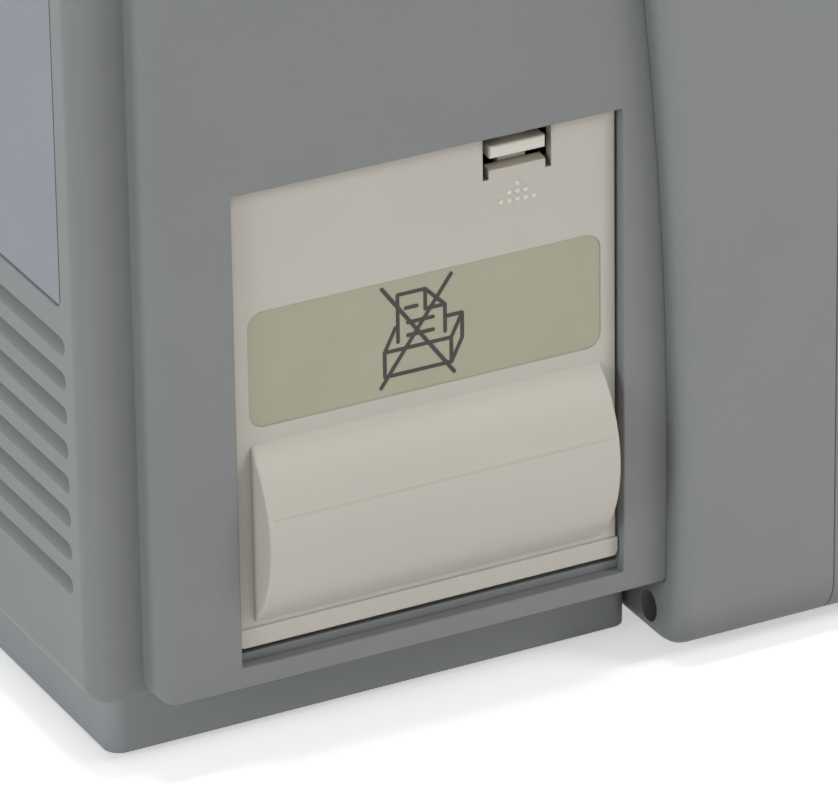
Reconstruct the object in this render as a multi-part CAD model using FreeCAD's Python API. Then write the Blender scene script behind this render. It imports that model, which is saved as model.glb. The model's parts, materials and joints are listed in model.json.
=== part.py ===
import FreeCAD, Part
import math
import os
from FreeCAD import Vector

# A bedside ECG monitor, in millimetres: +Z up, the screen faces -Y, the recorder bay is on -X.
# The origin is on the standing surface, under the middle of the case.

# Case widths, from the rear section outwards
rear_half_width = 134.5
pod_step = 6.5
front_step = 5.8
plinth_inset = 6.3

# Case heights, from the standing surface upwards
foot_height = 2.0
pan_height = 14.2
rear_height = 206.1
pod_rise = 4.0
front_rise = 8.7
front_drop = 14.0

# Case depths, from the rear face forwards
rear_depth = 10.4
pod_depth = 102.7
ring_depth = 32.0
bezel_depth = 20.0
knob_proud = 13.9

# Walls, edges and the bowed waist between the side pods and the front housing
shell_wall = 2.5
front_wall = 3.0
rear_edge_radius = 3.3
pod_edge_radius = 3.6
shoulder_radius = 4.0
face_edge_radius = 6.0
top_corner_radius = 14.0
bottom_corner_radius = 1.0
front_corner_radius = 12.0
front_low_radius = 9.3
bow_radius = 900.0
bow_apex_height = 23.4
telescope_length = 4.0
fit_gap = 0.2
seam_edge = 0.4

# Screw wells in the rear of the front housing
well_radius = 3.05
well_height = 6.6
well_inset = 11.7
well_depth = 20.0
well_wall = 1.6
screw_radius = 1.5
screw_hole_radius = 1.7
screw_head_radius = 2.7
screw_head_height = 2.2
screw_bite = 10.0

# Vent slots of the rear face
vent_count = 8
vent_pitch = 6.7
vent_height = 3.5
vent_length = 68.0
vent_side_margin = 6.2
vent_first_height = 20.7
vent_depth = 3.2
right_vent_lift = 56.0

# Rear label
label_width = 70.0
label_height = 60.0
label_side_margin = 7.2
label_above_floor = 75.6
label_sheet = 0.3
label_recess = 0.4
label_radius = 2.0

# Recorder bay and its tub
bay_setback = 16.4
bay_width = 77.4
bay_height = 92.3
bay_depth = 60.0
tub_wall = 1.5
tub_flange = 5.0
option_above_sill = 23.0
option_width = 40.0
option_height = 9.0
option_depth = 8.0
option_ear = 5.0
option_ear_sheet = 2.0
option_rim = 2.0
option_slot = 2.4
option_slot_depth = 6.0
bay_corner_radius = 0.4
bay_edge = 0.3
sill_step = 1.6

# Recorder door
door_recess = 2.2
door_plate = 2.0
door_gap = 0.5
door_sill_gap = 2.9
door_lip_height = 3.7
door_lip_proud = 0.35
door_lip_radius = 1.2
door_lip_gap = 0.3
barrel_end_inset = 3.0
barrel_low = 4.6
barrel_height = 35.1
barrel_bulge = 7.8
barrel_wall = 1.8
barrel_rim = 0.6
door_edge = 0.3
door_label_inset = 3.0
door_label_low = 42.8
door_label_height = 22.5
door_label_radius = 3.0
door_label_recess = 0.6
door_label_sheet = 0.4

# Hinge of the recorder door
pin_radius = 1.0
pin_clearance = 0.06
knuckle_radius = 1.9
pivot_rise = 1.7
pivot_depth = 1.8

# Release latch at the top of the recorder door
notch_from_rear = 56.7
notch_width = 13.7
notch_depth = 6.5
notch_slope = 0.4
slit_width = 1.2
slit_extra = 1.9
tab_width = 11.0
tab_height = 2.4
tab_low = 4.3
tab_proud = 0.4
tab_edge = 0.4
stem_width = 5.6
latch_plate = 1.5
latch_overlap = 1.4
latch_guide = 6.0
latch_stop = 1.0
latch_gap = 0.3
latch_travel = 1.6
latch_bite = 1.0
rail_width = 2.0
rail_lip = 1.2

# Screen and front controls
key_column_width = 63.6
window_height = 160.0
window_side_margin = 18.0
window_top_margin = 18.0
window_rim = 4.0
window_glass = 2.0
window_radius = 3.0
window_bevel = 1.6
lcd_rim = 6.0
lcd_depth = 8.0
bracket_sheet = 1.5
bracket_rim = 4.0
bracket_margin = 30.0
bracket_bridge = 20.0
key_count = 5
key_width = 30.0
key_height = 12.0
key_pitch = 22.0
key_radius = 3.0
key_proud = 1.5
key_edge = 0.9
key_gap = 0.3
key_flange = 1.2
key_flange_rim = 1.5
key_stem_radius = 2.0
key_travel = 0.8
key_column_margin = 26.0
key_top_margin = 30.0
power_key_radius = 8.0
power_key_drop = 46.0
switch_radius = 3.0
switch_height = 2.0
knob_radius = 17.0
knob_drop = 46.0
knob_grooves = 24
knob_groove_radius = 1.0
knob_skirt_gap = 1.0
knob_taper = 1.0
knob_edge = 1.5
knob_face = 4.0
knob_groove_start = 3.0
shaft_radius = 3.0
shaft_hole_radius = 5.0
shaft_clearance = 0.05
encoder_size = 14.0
encoder_depth = 6.0
light_radius = 1.6
light_pitch = 9.0
light_drop = 23.0
board_sheet = 1.6
board_rim = 4.0
board_post_radius = 2.4
boss_radius = 4.0

# Chassis and main board
post_radius = 4.0
post_length = 17.0
post_inset = 14.0
chassis_sheet = 1.5
chassis_flange = 12.0
standoff_radius = 3.0
standoff_length = 5.0
main_board_inset = 18.0
chip_height = 4.0
heatsink_height = 9.0
heatsink_fins = 8
heatsink_fin = 2.6
heatsink_size = 42.0
chip_count = 3
chip_size = 18.0
chip_pitch = 26.0
chip_inset = 14.0

# Power supply, battery, pump and speaker
supply_width = 62.0
supply_length = 76.0
supply_height = 42.0
supply_sheet = 1.5
supply_board_rise = 5.0
transformer_size = 26.0
transformer_inset = 14.0
transformer_drop = 4.0
can_count = 3
can_radius = 7.0
can_height = 24.0
can_pitch = 18.0
can_inset = 12.0
inner_gap = 5.0
supply_from_inlet = 1.1
battery_length = 60.0
battery_height = 24.0
battery_gap = 1.0
battery_corner = 3.0
battery_from_left = 74.0
battery_from_front = 9.1
cover_gap = 0.3
cover_tab = 12.0
cover_tab_inset = 19.0
cover_tab_reach = 5.0
scoop_radius = 9.0
scoop_depth = 1.3
scoop_length = 26.0
scoop_inset = 9.0
pump_radius = 13.5
pump_length = 46.0
pump_head = 16.0
pump_from_right = 42.0
pump_from_rear = 20.0
cradle_width = 22.0
cradle_rise = 4.0
speaker_radius = 19.0
speaker_depth = 15.0
speaker_flange = 2.0
speaker_rim = 2.0
magnet_height = 5.0
magnet_radius = 11.4
speaker_from_left = 42.0
speaker_height = 44.0

# Right-hand connector panel
panel_width = 58.0
panel_height = 150.0
panel_from_front = 24.0
panel_above_floor = 25.1
panel_recess = 6.0
panel_sheet = 2.5
panel_rim = 2.0
panel_radius = 4.0
socket_top_margin = 27.0
socket_pitch = 33.0
socket_flange = 1.5
socket_proud = 1.6
ecg_radius = 12.0
ecg_wall = 1.6
ecg_recess = 5.5
ecg_pins = 6
ecg_pin_circle = 6.0
ecg_pin_radius = 1.1
pin_depth = 4.0
small_socket_radius = 5.5
jack_spacing = 23.0
jack_bore = 3.2
jack_bore_depth = 13.0
probe_width = 20.0
probe_height = 14.0
probe_corner = 2.8
probe_pin_radius = 0.8
probe_pin_pitch = 2.8
probe_row_pitch = 3.2
probe_pins = 5
nipple_radius = 2.6
nipple_bore = 1.3
nipple_reach = 8.5
parameter_board_depth = 14.0

# Rear connectors
inlet_width = 27.4
inlet_height = 19.8
inlet_depth = 22.0
inlet_from_right = 96.0
inlet_above_floor = 23.1
inlet_wall = 2.0
inlet_cavity = 15.0
inlet_corner = 1.0
inlet_chamfer = 5.0
blade_width = 4.0
blade_thick = 2.0
blade_length = 12.0
blade_pitch = 7.0
blade_root = 4.0
earth_rise = 2.0
phase_drop = 1.0
fuse_width = 27.4
fuse_height = 10.0
fuse_depth = 16.0
fuse_grip = 1.2
fuse_grip_width = 13.6
fuse_grip_height = 2.5
fuse_grip_drop = 1.0
stud_well_radius = 9.0
stud_well_depth = 12.0
stud_radius = 3.0
stud_nut_rim = 2.5
stud_nut_height = 2.5
stud_from_inlet = 38.0
jack_width = 16.0
jack_height = 14.0
jack_depth = 15.0
jack_mouth_width = 11.8
jack_mouth_height = 8.4
jack_back = 3.0
jack_latch_width = 6.0
jack_latch_drop = 2.0
jack_setback = 0.3
jack_from_inlet = 66.0

# Handle
handle_width = 168.0
handle_height = 37.0
handle_depth = 30.0
handle_leg = 20.0
handle_bar = 13.0
handle_radius = 16.0
handle_inner_radius = 8.0
handle_screw_depth = 18.0
handle_edge = 4.0
handle_from_rear = 32.0

# Feet and underside fixing holes
foot_radius = 9.0
foot_peg_radius = 2.5
foot_inset = 20.0
pan_corner = 3.2
pan_front_gap = 1.0
insert_side_inset = 48.2
insert_spacing_y = 60.0
insert_radius = 2.9
insert_bore = 1.65
insert_length = 8.0
insert_boss_wall = 2.2
hole_clearance = 0.1

# Heights worked out from the sizes above
pan_bottom = foot_height
pan_floor = pan_bottom + shell_wall
shell_bottom = pan_bottom + pan_height
floor_top = shell_bottom + shell_wall
rear_top = shell_bottom + rear_height
pod_top = rear_top + pod_rise
front_bottom = shell_bottom - front_drop
front_top = pod_top + front_rise
bay_bottom = floor_top + fit_gap + tub_wall
bay_top = bay_bottom + bay_height
door_bottom = bay_bottom + door_sill_gap
door_top = bay_top - door_gap
pivot_z = door_bottom + pivot_rise
bow_z = shell_bottom + bow_apex_height

# Widths
pod_half_width = rear_half_width + pod_step
front_half_width = pod_half_width + front_step
pan_half_width = rear_half_width - plinth_inset
pod_inner_x = pod_half_width - shell_wall
door_x = -pod_half_width + door_recess
door_back_x = door_x + door_plate
pivot_x = door_x + pivot_depth

# Depths
total_depth = rear_depth + pod_depth + ring_depth + bezel_depth + knob_proud
rear_y = total_depth / 2
rear_inner_y = rear_y - shell_wall
pod_rear_y = rear_y - rear_depth
waist_y = pod_rear_y - pod_depth
seam_y = waist_y - ring_depth
face_y = seam_y - bezel_depth
face_inner_y = face_y + front_wall
shell_front_y = waist_y - telescope_length
bay_rear_y = pod_rear_y - bay_setback
bay_front_y = bay_rear_y - bay_width
door_rear_y = bay_rear_y - door_gap
door_front_y = bay_front_y + door_gap
notch_y = door_rear_y - notch_from_rear
tab_z = door_top - tab_low
notch_floor_z = door_top - notch_depth
slit_bottom_z = notch_floor_z - slit_extra
guide_top_z = slit_bottom_z - latch_stop - latch_gap
guide_bottom_z = guide_top_z - latch_guide
window_x0 = -front_half_width + window_side_margin
window_x1 = front_half_width - key_column_width
window_width = window_x1 - window_x0
window_z1 = front_top - window_top_margin
window_z0 = window_z1 - window_height
lcd_front_y = face_inner_y + window_glass
lcd_back_y = lcd_front_y + lcd_depth
bracket_back_y = lcd_back_y + bracket_sheet
chassis_y = bracket_back_y + post_length
chassis_back_y = chassis_y + chassis_sheet
main_board_y = chassis_back_y + standoff_length
key_x = front_half_width - key_column_margin
key_z1 = front_top - key_top_margin
key_z0 = key_z1 - key_pitch * (key_count - 1)
knob_z = key_z0 - knob_drop + key_height / 2
power_z = knob_z - power_key_drop + power_key_radius / 2
light_z = power_z - light_drop + power_key_radius
key_board_y = lcd_back_y
switch_y = key_board_y - switch_height
panel_x = pod_half_width - panel_recess
panel_back_x = panel_x - panel_sheet
panel_y0 = shell_front_y + panel_from_front
panel_y1 = panel_y0 + panel_width
panel_z0 = floor_top + panel_above_floor
panel_z1 = panel_z0 + panel_height
panel_y = (panel_y0 + panel_y1) / 2
parameter_x = panel_back_x - parameter_board_depth
inlet_x = rear_half_width - inlet_from_right
inlet_z = floor_top + inlet_above_floor
handle_y = rear_y - handle_from_rear - handle_depth / 2
pump_x = pod_half_width - pump_from_right
pump_z = floor_top + cradle_rise + pump_radius
pump_back_y = rear_inner_y - pump_from_rear
supply_x1 = pump_x - pump_radius - cradle_rise - inner_gap
supply_x0 = supply_x1 - supply_width
supply_y1 = rear_y - inlet_depth - supply_from_inlet
supply_y0 = supply_y1 - supply_length
battery_x0 = -pod_half_width + battery_from_left
battery_x1 = supply_x0 - inner_gap
battery_y0 = waist_y + battery_from_front
battery_y1 = battery_y0 + battery_length
insert_y = (rear_y - plinth_inset + waist_y) / 2
insert_spacing_x = 2 * (pan_half_width - insert_side_inset)


def box(x, y, z):
    return Part.makeBox(x[1] - x[0], y[1] - y[0], z[1] - z[0], Vector(x[0], y[0], z[0]))


def rod(radius, start, axis, length):
    return Part.makeCylinder(radius, length, Vector(*start), Vector(*axis))


def point_on(plane, offset, a, b):
    if plane == "xy":
        return Vector(a, b, offset)
    if plane == "xz":
        return Vector(a, offset, b)
    return Vector(offset, a, b)


def rounded_face(plane, offset, a, b, radii):
    """A rectangle with one radius per corner, going round from the corner of least a and least b."""
    corners = [(a[0], b[0]), (a[1], b[0]), (a[1], b[1]), (a[0], b[1])]
    ways = [(1, 0), (0, 1), (-1, 0), (0, -1)]
    sagging = 1 - math.sqrt(0.5)
    starts, middles, ends = [], [], []
    for i, (ca, cb) in enumerate(corners):
        came, goes, radius = ways[i - 1], ways[i], radii[i]
        starts.append(point_on(plane, offset, ca - came[0] * radius, cb - came[1] * radius))
        ends.append(point_on(plane, offset, ca + goes[0] * radius, cb + goes[1] * radius))
        middle_a = ca + (goes[0] - came[0]) * radius * sagging
        middle_b = cb + (goes[1] - came[1]) * radius * sagging
        middles.append(point_on(plane, offset, middle_a, middle_b))
    edges = []
    for i in range(4):
        if radii[i] > 0:
            edges.append(Part.Arc(starts[i], middles[i], ends[i]).toShape())
        edges.append(Part.LineSegment(ends[i], starts[(i + 1) % 4]).toShape())
    return Part.Face(Part.Wire(edges))


def rounded_prism(plane, span, a, b, radii):
    """A rounded rectangle pushed along its normal, from span[0] to span[1]."""
    if not isinstance(radii, (list, tuple)):
        radii = [radii] * 4
    face = rounded_face(plane, span[0], a, b, radii)
    return face.extrude(point_on(plane, span[1] - span[0], 0, 0))


def polygon_prism(plane, span, points):
    corners = [point_on(plane, span[0], a, b) for a, b in points]
    face = Part.Face(Part.makePolygon(corners + corners[:1]))
    return face.extrude(point_on(plane, span[1] - span[0], 0, 0))


def fuse(shapes):
    return shapes[0].multiFuse(shapes[1:]).removeSplitter()


def group(shapes):
    return Part.makeCompound(shapes)


def soften(shape, radius, chosen):
    """Round every edge whose ends and middle all pass the test."""
    edges = []
    for edge in shape.Edges:
        marks = [vertex.Point for vertex in edge.Vertexes] + [edge.CenterOfMass]
        if all(chosen(mark) for mark in marks):
            edges.append(edge)
    return shape.makeFillet(radius, edges)


def near(value, target):
    return abs(value - target) < 1e-3


# Case

def case_profile(half_width, bottom, top, span, inset=0.0):
    """The front-view outline of a case section, as a solid along Y."""
    low = max(bottom_corner_radius - inset, 0.5)
    high = max(top_corner_radius - inset, 0.5)
    sides = (-half_width + inset, half_width - inset)
    return rounded_prism("xz", span, sides, (bottom + inset, top - inset), [low, low, high, high])


def vent_slot(left, top):
    """One louvre: open at its upper edge, running out flush at its lower edge."""
    bottom = top - vent_height
    slot = rounded_prism("xz", (rear_y - vent_depth, rear_y + 1), (left, left + vent_length),
                         (bottom, top), vent_height / 2 - 0.05)
    slope = [(rear_y, bottom), (rear_y - vent_depth, top), (rear_y + 1, top), (rear_y + 1, bottom)]
    return slot.common(polygon_prism("yz", (left, left + vent_length), slope))


def vents():
    left_end = -rear_half_width + vent_side_margin
    right_end = rear_half_width - vent_side_margin - vent_length
    slots = []
    for row in range(vent_count):
        top = floor_top + vent_first_height + row * vent_pitch
        slots.append(vent_slot(left_end, top))
        slots.append(vent_slot(right_end, top + right_vent_lift))
    return slots


def label_recess_box(depth):
    left = -rear_half_width + label_side_margin
    low = floor_top + label_above_floor - shell_wall
    return rounded_prism("xz", (rear_y - label_recess, rear_y - label_recess + depth),
                         (left, left + label_width), (low, low + label_height), label_radius)


def rear_openings():
    """Everything that goes through the rear wall: power inlet, fuse drawer, jack and stud well."""
    through = (rear_inner_y - 1, rear_y + 1)
    half_inlet = inlet_width / 2 + fit_gap
    low = inlet_z - inlet_height / 2 - fit_gap
    high = inlet_z + inlet_height / 2 + fuse_height + fit_gap
    jack_x = inlet_x + jack_from_inlet
    jack_half = jack_width / 2 + fit_gap
    jack_z = (inlet_z - jack_height / 2 - fit_gap, inlet_z + jack_height / 2 + fit_gap)
    stud = (inlet_x + stud_from_inlet, through[0], inlet_z)
    return [box((inlet_x - half_inlet, inlet_x + half_inlet), through, (low, high)),
            box((jack_x - jack_half, jack_x + jack_half), through, jack_z),
            rod(stud_well_radius, stud, (0, 1, 0), through[1] - through[0])]


def stud_well():
    """A closed cup behind the rear wall that keeps the ground stud out of harm's way."""
    mouth = (inlet_x + stud_from_inlet, rear_inner_y, inlet_z)
    cup = rod(stud_well_radius + shell_wall, mouth, (0, -1, 0), stud_well_depth)
    hollow = rod(stud_well_radius, mouth, (0, -1, 0), stud_well_depth - shell_wall)
    hole = rod(stud_radius + hole_clearance, mouth, (0, -1, 0), stud_well_depth + 1)
    return cup.cut(hollow).cut(hole)


def handle_screw_places():
    reach = handle_width / 2 - handle_leg / 2
    return [(side * reach, handle_y) for side in (-1, 1)]


def on_bay_rim(p):
    beside = bay_front_y - bay_edge < p.y < bay_rear_y + bay_edge
    return near(p.x, -pod_half_width) and beside and bay_bottom - bay_edge < p.z < bay_top + bay_edge


def rear_housing():
    outside = [case_profile(rear_half_width, shell_bottom, rear_top, (shell_front_y, rear_y)),
               case_profile(pod_half_width, shell_bottom, pod_top, (shell_front_y, pod_rear_y))]
    outside[0] = soften(outside[0], rear_edge_radius, lambda p: near(p.y, rear_y))
    outside[1] = soften(outside[1], pod_edge_radius, lambda p: near(p.y, pod_rear_y))
    inside = [case_profile(rear_half_width, shell_bottom, rear_top,
                           (shell_front_y - 1, rear_inner_y), shell_wall),
              case_profile(pod_half_width, shell_bottom, pod_top,
                           (shell_front_y - 1, pod_rear_y - shell_wall), shell_wall)]
    shell = fuse(outside).cut(fuse(inside))
    cuts = vents() + rear_openings()
    cuts.append(label_recess_box(label_recess + 1))
    cuts.append(rounded_prism("yz", (-pod_half_width - 1, -pod_inner_x + 1), (bay_front_y, bay_rear_y),
                              (bay_bottom, bay_top), bay_corner_radius))
    cuts.append(rounded_prism("yz", (pod_inner_x - 1, pod_half_width + 1), (panel_y0, panel_y1),
                              (panel_z0, panel_z1), panel_radius))
    cuts.append(box((battery_x0 - battery_gap, battery_x1 + battery_gap),
                    (battery_y0 - battery_gap, battery_y1 + battery_gap), (shell_bottom - 1, floor_top + 1)))
    for x, y in handle_screw_places():
        cuts.append(rod(screw_hole_radius, (x, y, pod_top - shell_wall - 1), (0, 0, 1), shell_wall + 2))
    shell = fuse([shell.cut(cuts), stud_well()])
    return soften(shell, bay_edge, on_bay_rim)


def waist_side(radius_growth, front):
    """The side view of the front housing: a straight front and a bowed rear edge."""
    radius = bow_radius + radius_growth
    middle_y = waist_y + bow_radius

    def on_bow(z):
        return Vector(0, middle_y - math.sqrt(radius ** 2 - (z - bow_z) ** 2), z)

    low, high = front_bottom - 1, front_top + 1
    bow = Part.Arc(on_bow(low), on_bow((low + high) / 2), on_bow(high)).toShape()
    corners = [on_bow(high), Vector(0, front, high), Vector(0, front, low), on_bow(low)]
    straight = [Part.LineSegment(corners[i], corners[i + 1]).toShape() for i in range(3)]
    side = Part.Face(Part.Wire([bow] + straight))
    side.translate(Vector(-front_half_width - 1, 0, 0))
    return side.extrude(Vector(2 * front_half_width + 2, 0, 0))


def front_outline(span, inset=0.0):
    """The front view of the front housing and the bezel, as a solid along Y."""
    low = max(front_low_radius - inset, 0.5)
    high = max(front_corner_radius - inset, 0.5)
    sides = (-front_half_width + inset, front_half_width - inset)
    heights = (front_bottom + inset, front_top - inset)
    return rounded_prism("xz", span, sides, heights, [low, low, high, high])


def well_places():
    z = front_bottom + well_height
    return [(side * (front_half_width - well_inset), z) for side in (-1, 1)]


def front_housing():
    reach = (seam_y, pod_rear_y)
    outside = waist_side(0, seam_y).common(front_outline(reach))
    on_bow = bow_radius * 1e-4
    outside = soften(outside, shoulder_radius, lambda p: abs(
        math.hypot(p.y - waist_y - bow_radius, p.z - bow_z) - bow_radius) < on_bow and p.y > seam_y + 1)
    outside = soften(outside, seam_edge, lambda p: near(p.y, seam_y))
    inside = waist_side(front_wall, seam_y - 1).common(front_outline((seam_y - 1, pod_rear_y), front_wall))
    mouth = case_profile(pod_half_width, shell_bottom, pod_top,
                         (waist_y - front_wall - 1, pod_rear_y), -fit_gap)
    shell = outside.cut(inside).cut(mouth)
    room = front_outline((seam_y, pod_rear_y), front_wall / 2)
    for x, z in well_places():
        boss = rod(well_radius + well_wall, (x, seam_y, z), (0, 1, 0), waist_y - seam_y).common(room)
        boss = boss.common(waist_side(front_wall / 2, seam_y))
        shell = shell.fuse(boss)
    for x, z in well_places():
        ledge_y = waist_y - well_depth
        shell = shell.cut(rod(well_radius, (x, ledge_y, z), (0, 1, 0), well_depth + pod_depth))
        shell = shell.cut(rod(screw_hole_radius, (x, seam_y - 1, z), (0, 1, 0), ledge_y - seam_y + 2))
    return shell.removeSplitter()


def housing_screws():
    screws = []
    for x, z in well_places():
        ledge_y = waist_y - well_depth
        head = rod(screw_head_radius, (x, ledge_y, z), (0, 1, 0), screw_head_height)
        shank = rod(screw_radius, (x, ledge_y, z), (0, -1, 0), ledge_y - seam_y + screw_bite)
        screws.append(fuse([head, shank]))
    return group(screws)


def base_pan():
    plan = ((-pan_half_width, pan_half_width), (waist_y + pan_front_gap, rear_y - plinth_inset))
    inner = [(low + shell_wall, high - shell_wall) for low, high in plan]
    pan = rounded_prism("xy", (pan_bottom, shell_bottom), plan[0], plan[1], pan_corner)
    pan = pan.cut(rounded_prism("xy", (pan_floor, shell_bottom + 1), inner[0], inner[1],
                                pan_corner - shell_wall))
    bosses = []
    for x, y in insert_places():
        bosses.append(rod(insert_radius + insert_boss_wall, (x, y, pan_bottom), (0, 0, 1),
                          insert_length + shell_wall))
    pan = fuse([pan] + bosses)
    cuts = [rod(insert_radius + hole_clearance, (x, y, pan_bottom - 1), (0, 0, 1), insert_length + 1)
            for x, y in insert_places()]
    for x, y in foot_places():
        cuts.append(rod(foot_peg_radius + hole_clearance, (x, y, pan_bottom - 1), (0, 0, 1), shell_wall + 2))
    cuts.append(box((battery_x0, battery_x1), (battery_y0, battery_y1), (pan_bottom - 1, pan_floor + 1)))
    return pan.cut(cuts)


def foot_places():
    x = pan_half_width - foot_inset
    rows = (waist_y + foot_inset, rear_y - plinth_inset - foot_inset)
    return [(side * x, y) for side in (-1, 1) for y in rows]


def rubber_feet():
    feet = []
    for x, y in foot_places():
        pad = rod(foot_radius, (x, y, 0), (0, 0, 1), foot_height)
        peg = rod(foot_peg_radius, (x, y, foot_height), (0, 0, 1), shell_wall + 1)
        feet.append(fuse([pad, peg]))
    return group(feet)


def insert_places():
    reach_x, reach_y = insert_spacing_x / 2, insert_spacing_y / 2
    return [(sx * reach_x, insert_y + sy * reach_y) for sx in (-1, 1) for sy in (-1, 1)]


def mount_inserts():
    inserts = []
    for x, y in insert_places():
        body = rod(insert_radius, (x, y, pan_bottom), (0, 0, 1), insert_length)
        inserts.append(body.cut(rod(insert_bore, (x, y, pan_bottom - 1), (0, 0, 1), insert_length + 2)))
    return group(inserts)


def rear_label():
    return label_recess_box(label_sheet)


def handle():
    outer = rounded_prism("xz", (handle_y - handle_depth / 2, handle_y + handle_depth / 2),
                          (-handle_width / 2, handle_width / 2), (pod_top, pod_top + handle_height),
                          [0, 0, handle_radius, handle_radius])
    gap_half = handle_width / 2 - handle_leg
    gap = rounded_prism("xz", (handle_y - handle_depth, handle_y + handle_depth), (-gap_half, gap_half),
                        (pod_top - 1, pod_top + handle_height - handle_bar),
                        [0, 0, handle_inner_radius, handle_inner_radius])
    arch = outer.cut(gap)
    arch = soften(arch, handle_edge, lambda p: near(abs(p.y - handle_y), handle_depth / 2) and p.z >= pod_top)
    holes = []
    for x, y in handle_screw_places():
        holes.append(rod(screw_hole_radius, (x, y, pod_top - 1), (0, 0, 1), handle_screw_depth + 1))
    return arch.cut(holes)


def handle_screws():
    screws = []
    for x, y in handle_screw_places():
        under = pod_top - shell_wall
        head = rod(screw_head_radius, (x, y, under), (0, 0, -1), screw_head_height)
        shank = rod(screw_radius, (x, y, under), (0, 0, 1), shell_wall + handle_screw_depth - 1)
        screws.append(fuse([head, shank]))
    return group(screws)


# Recorder bay, door and latch

def recorder_bay():
    mouth_x, back_x = -pod_inner_x, -pod_inner_x + bay_depth
    y, z = (bay_front_y, bay_rear_y), (bay_bottom, bay_top)
    around_y = (y[0] - tub_wall, y[1] + tub_wall)
    around_z = (z[0] - tub_wall, z[1] + tub_wall)
    around_flange = (around_y[0] - tub_flange, around_y[1] + tub_flange)
    outer = box((mouth_x, back_x + tub_wall), around_y, around_z)
    flange = box((mouth_x, mouth_x + tub_wall), around_flange, (around_z[0], around_z[1] + tub_flange))
    tub = fuse([outer, flange]).cut(box((mouth_x - 1, back_x), y, (z[0] + sill_step, z[1])))
    room = case_profile(pod_half_width, shell_bottom, pod_top, around_flange, shell_wall + fit_gap / 2)
    tub = tub.common(room)
    keeper_half = stem_width / 2 + latch_gap
    keeper_x = (door_back_x, door_back_x + latch_plate + 3 * latch_gap)
    keeper = box(keeper_x, (notch_y - keeper_half, notch_y + keeper_half), (bay_top - 1, around_z[1] + 1))
    pin_hole = rod(pin_radius + pin_clearance, (pivot_x, around_y[0] - 1, pivot_z), (0, 1, 0),
                   around_y[1] - around_y[0] + 2)
    socket = box((back_x - 1, back_x + tub_wall + 1), *option_socket_window(fit_gap))
    return tub.cut([keeper, pin_hole, socket])


def option_socket_window(growth):
    """The window in the back of the bay where a recorder would plug in, as ranges of Y and Z."""
    y, z = (bay_front_y + bay_rear_y) / 2, bay_bottom + option_above_sill
    half_width, half_height = option_width / 2 + growth, option_height / 2 + growth
    return ((y - half_width, y + half_width), (z - half_height, z + half_height))


def option_socket():
    back_x = -pod_inner_x + bay_depth
    ear_x = back_x + tub_wall
    body = box((back_x, ear_x + option_depth), *option_socket_window(0))
    ears = box((ear_x, ear_x + option_ear_sheet), *option_socket_window(option_ear))
    y, z = option_socket_window(0)
    middle = (z[0] + z[1]) / 2
    slot = box((back_x - 1, back_x + option_slot_depth), (y[0] + option_rim, y[1] - option_rim),
               (middle - option_slot / 2, middle + option_slot / 2))
    return fuse([body, ears]).cut(slot)


def hinge_pin():
    length = bay_width + 2 * tub_wall
    return rod(pin_radius, (pivot_x, bay_front_y - tub_wall, pivot_z), (0, 1, 0), length)


def barrel(radius_loss, end_inset):
    """The round front over the paper-roll space, as a solid along Y."""
    half = barrel_height / 2
    radius = (half ** 2 + barrel_bulge ** 2) / (2 * barrel_bulge)
    middle = (door_x - barrel_bulge + radius, door_front_y + barrel_end_inset + end_inset,
              door_bottom + barrel_low + half)
    length = door_rear_y - door_front_y - 2 * barrel_end_inset - 2 * end_inset
    return rod(radius - radius_loss, middle, (0, 1, 0), length)


def door_label_outline(span):
    low = door_bottom + door_label_low
    return rounded_prism("yz", span, (door_front_y + door_label_inset, door_rear_y - door_label_inset),
                         (low, low + door_label_height), door_label_radius)


def latch_rails():
    """Hooked rails on the back of the door that guide the latch, with stops above and below it."""
    half = notch_width / 2 + latch_overlap + latch_gap
    low = guide_bottom_z - latch_travel - 2 * latch_gap
    back = door_back_x + latch_plate + 2 * latch_gap
    hook_back = back + rail_width / 2
    rails = []
    for side in (-1, 1):
        outer = notch_y + side * (half + rail_width)
        inner, hook = notch_y + side * half, notch_y + side * (half - rail_lip)
        shoulder = notch_y + side * (stem_width / 2 + latch_gap)
        rails.append(box((door_back_x, hook_back), sorted((inner, outer)), (low, slit_bottom_z)))
        rails.append(box((back, hook_back), sorted((hook, outer)), (low, slit_bottom_z)))
        rails.append(box((door_back_x, hook_back), sorted((shoulder, outer)),
                         (slit_bottom_z - latch_stop, slit_bottom_z)))
    across = (notch_y - half - rail_width, notch_y + half + rail_width)
    rails.append(box((door_back_x, hook_back), across, (low - rail_width, low)))
    return rails


def door_front():
    """The door's plate with its lower lip and the round front, all with softened edges."""
    y, z = (door_front_y, door_rear_y), (door_bottom, door_top)
    plate = soften(box((door_x, door_back_x), y, z), door_edge, lambda p: near(p.x, door_x))
    lip_y = (bay_front_y + door_lip_gap, bay_rear_y - door_lip_gap)
    lip = rounded_prism("yz", (door_x - door_lip_proud, door_back_x), lip_y, (z[0], z[0] + door_lip_height),
                        [door_lip_radius, door_lip_radius, 0, 0])
    round_front = barrel(0, 0).common(box((door_x - barrel_bulge - 1, door_back_x), y, z))
    rims = [edge for edge in round_front.Edges if isinstance(edge.Curve, Part.Circle)]
    return [plate, lip, round_front.makeFillet(barrel_rim, rims)]


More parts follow.
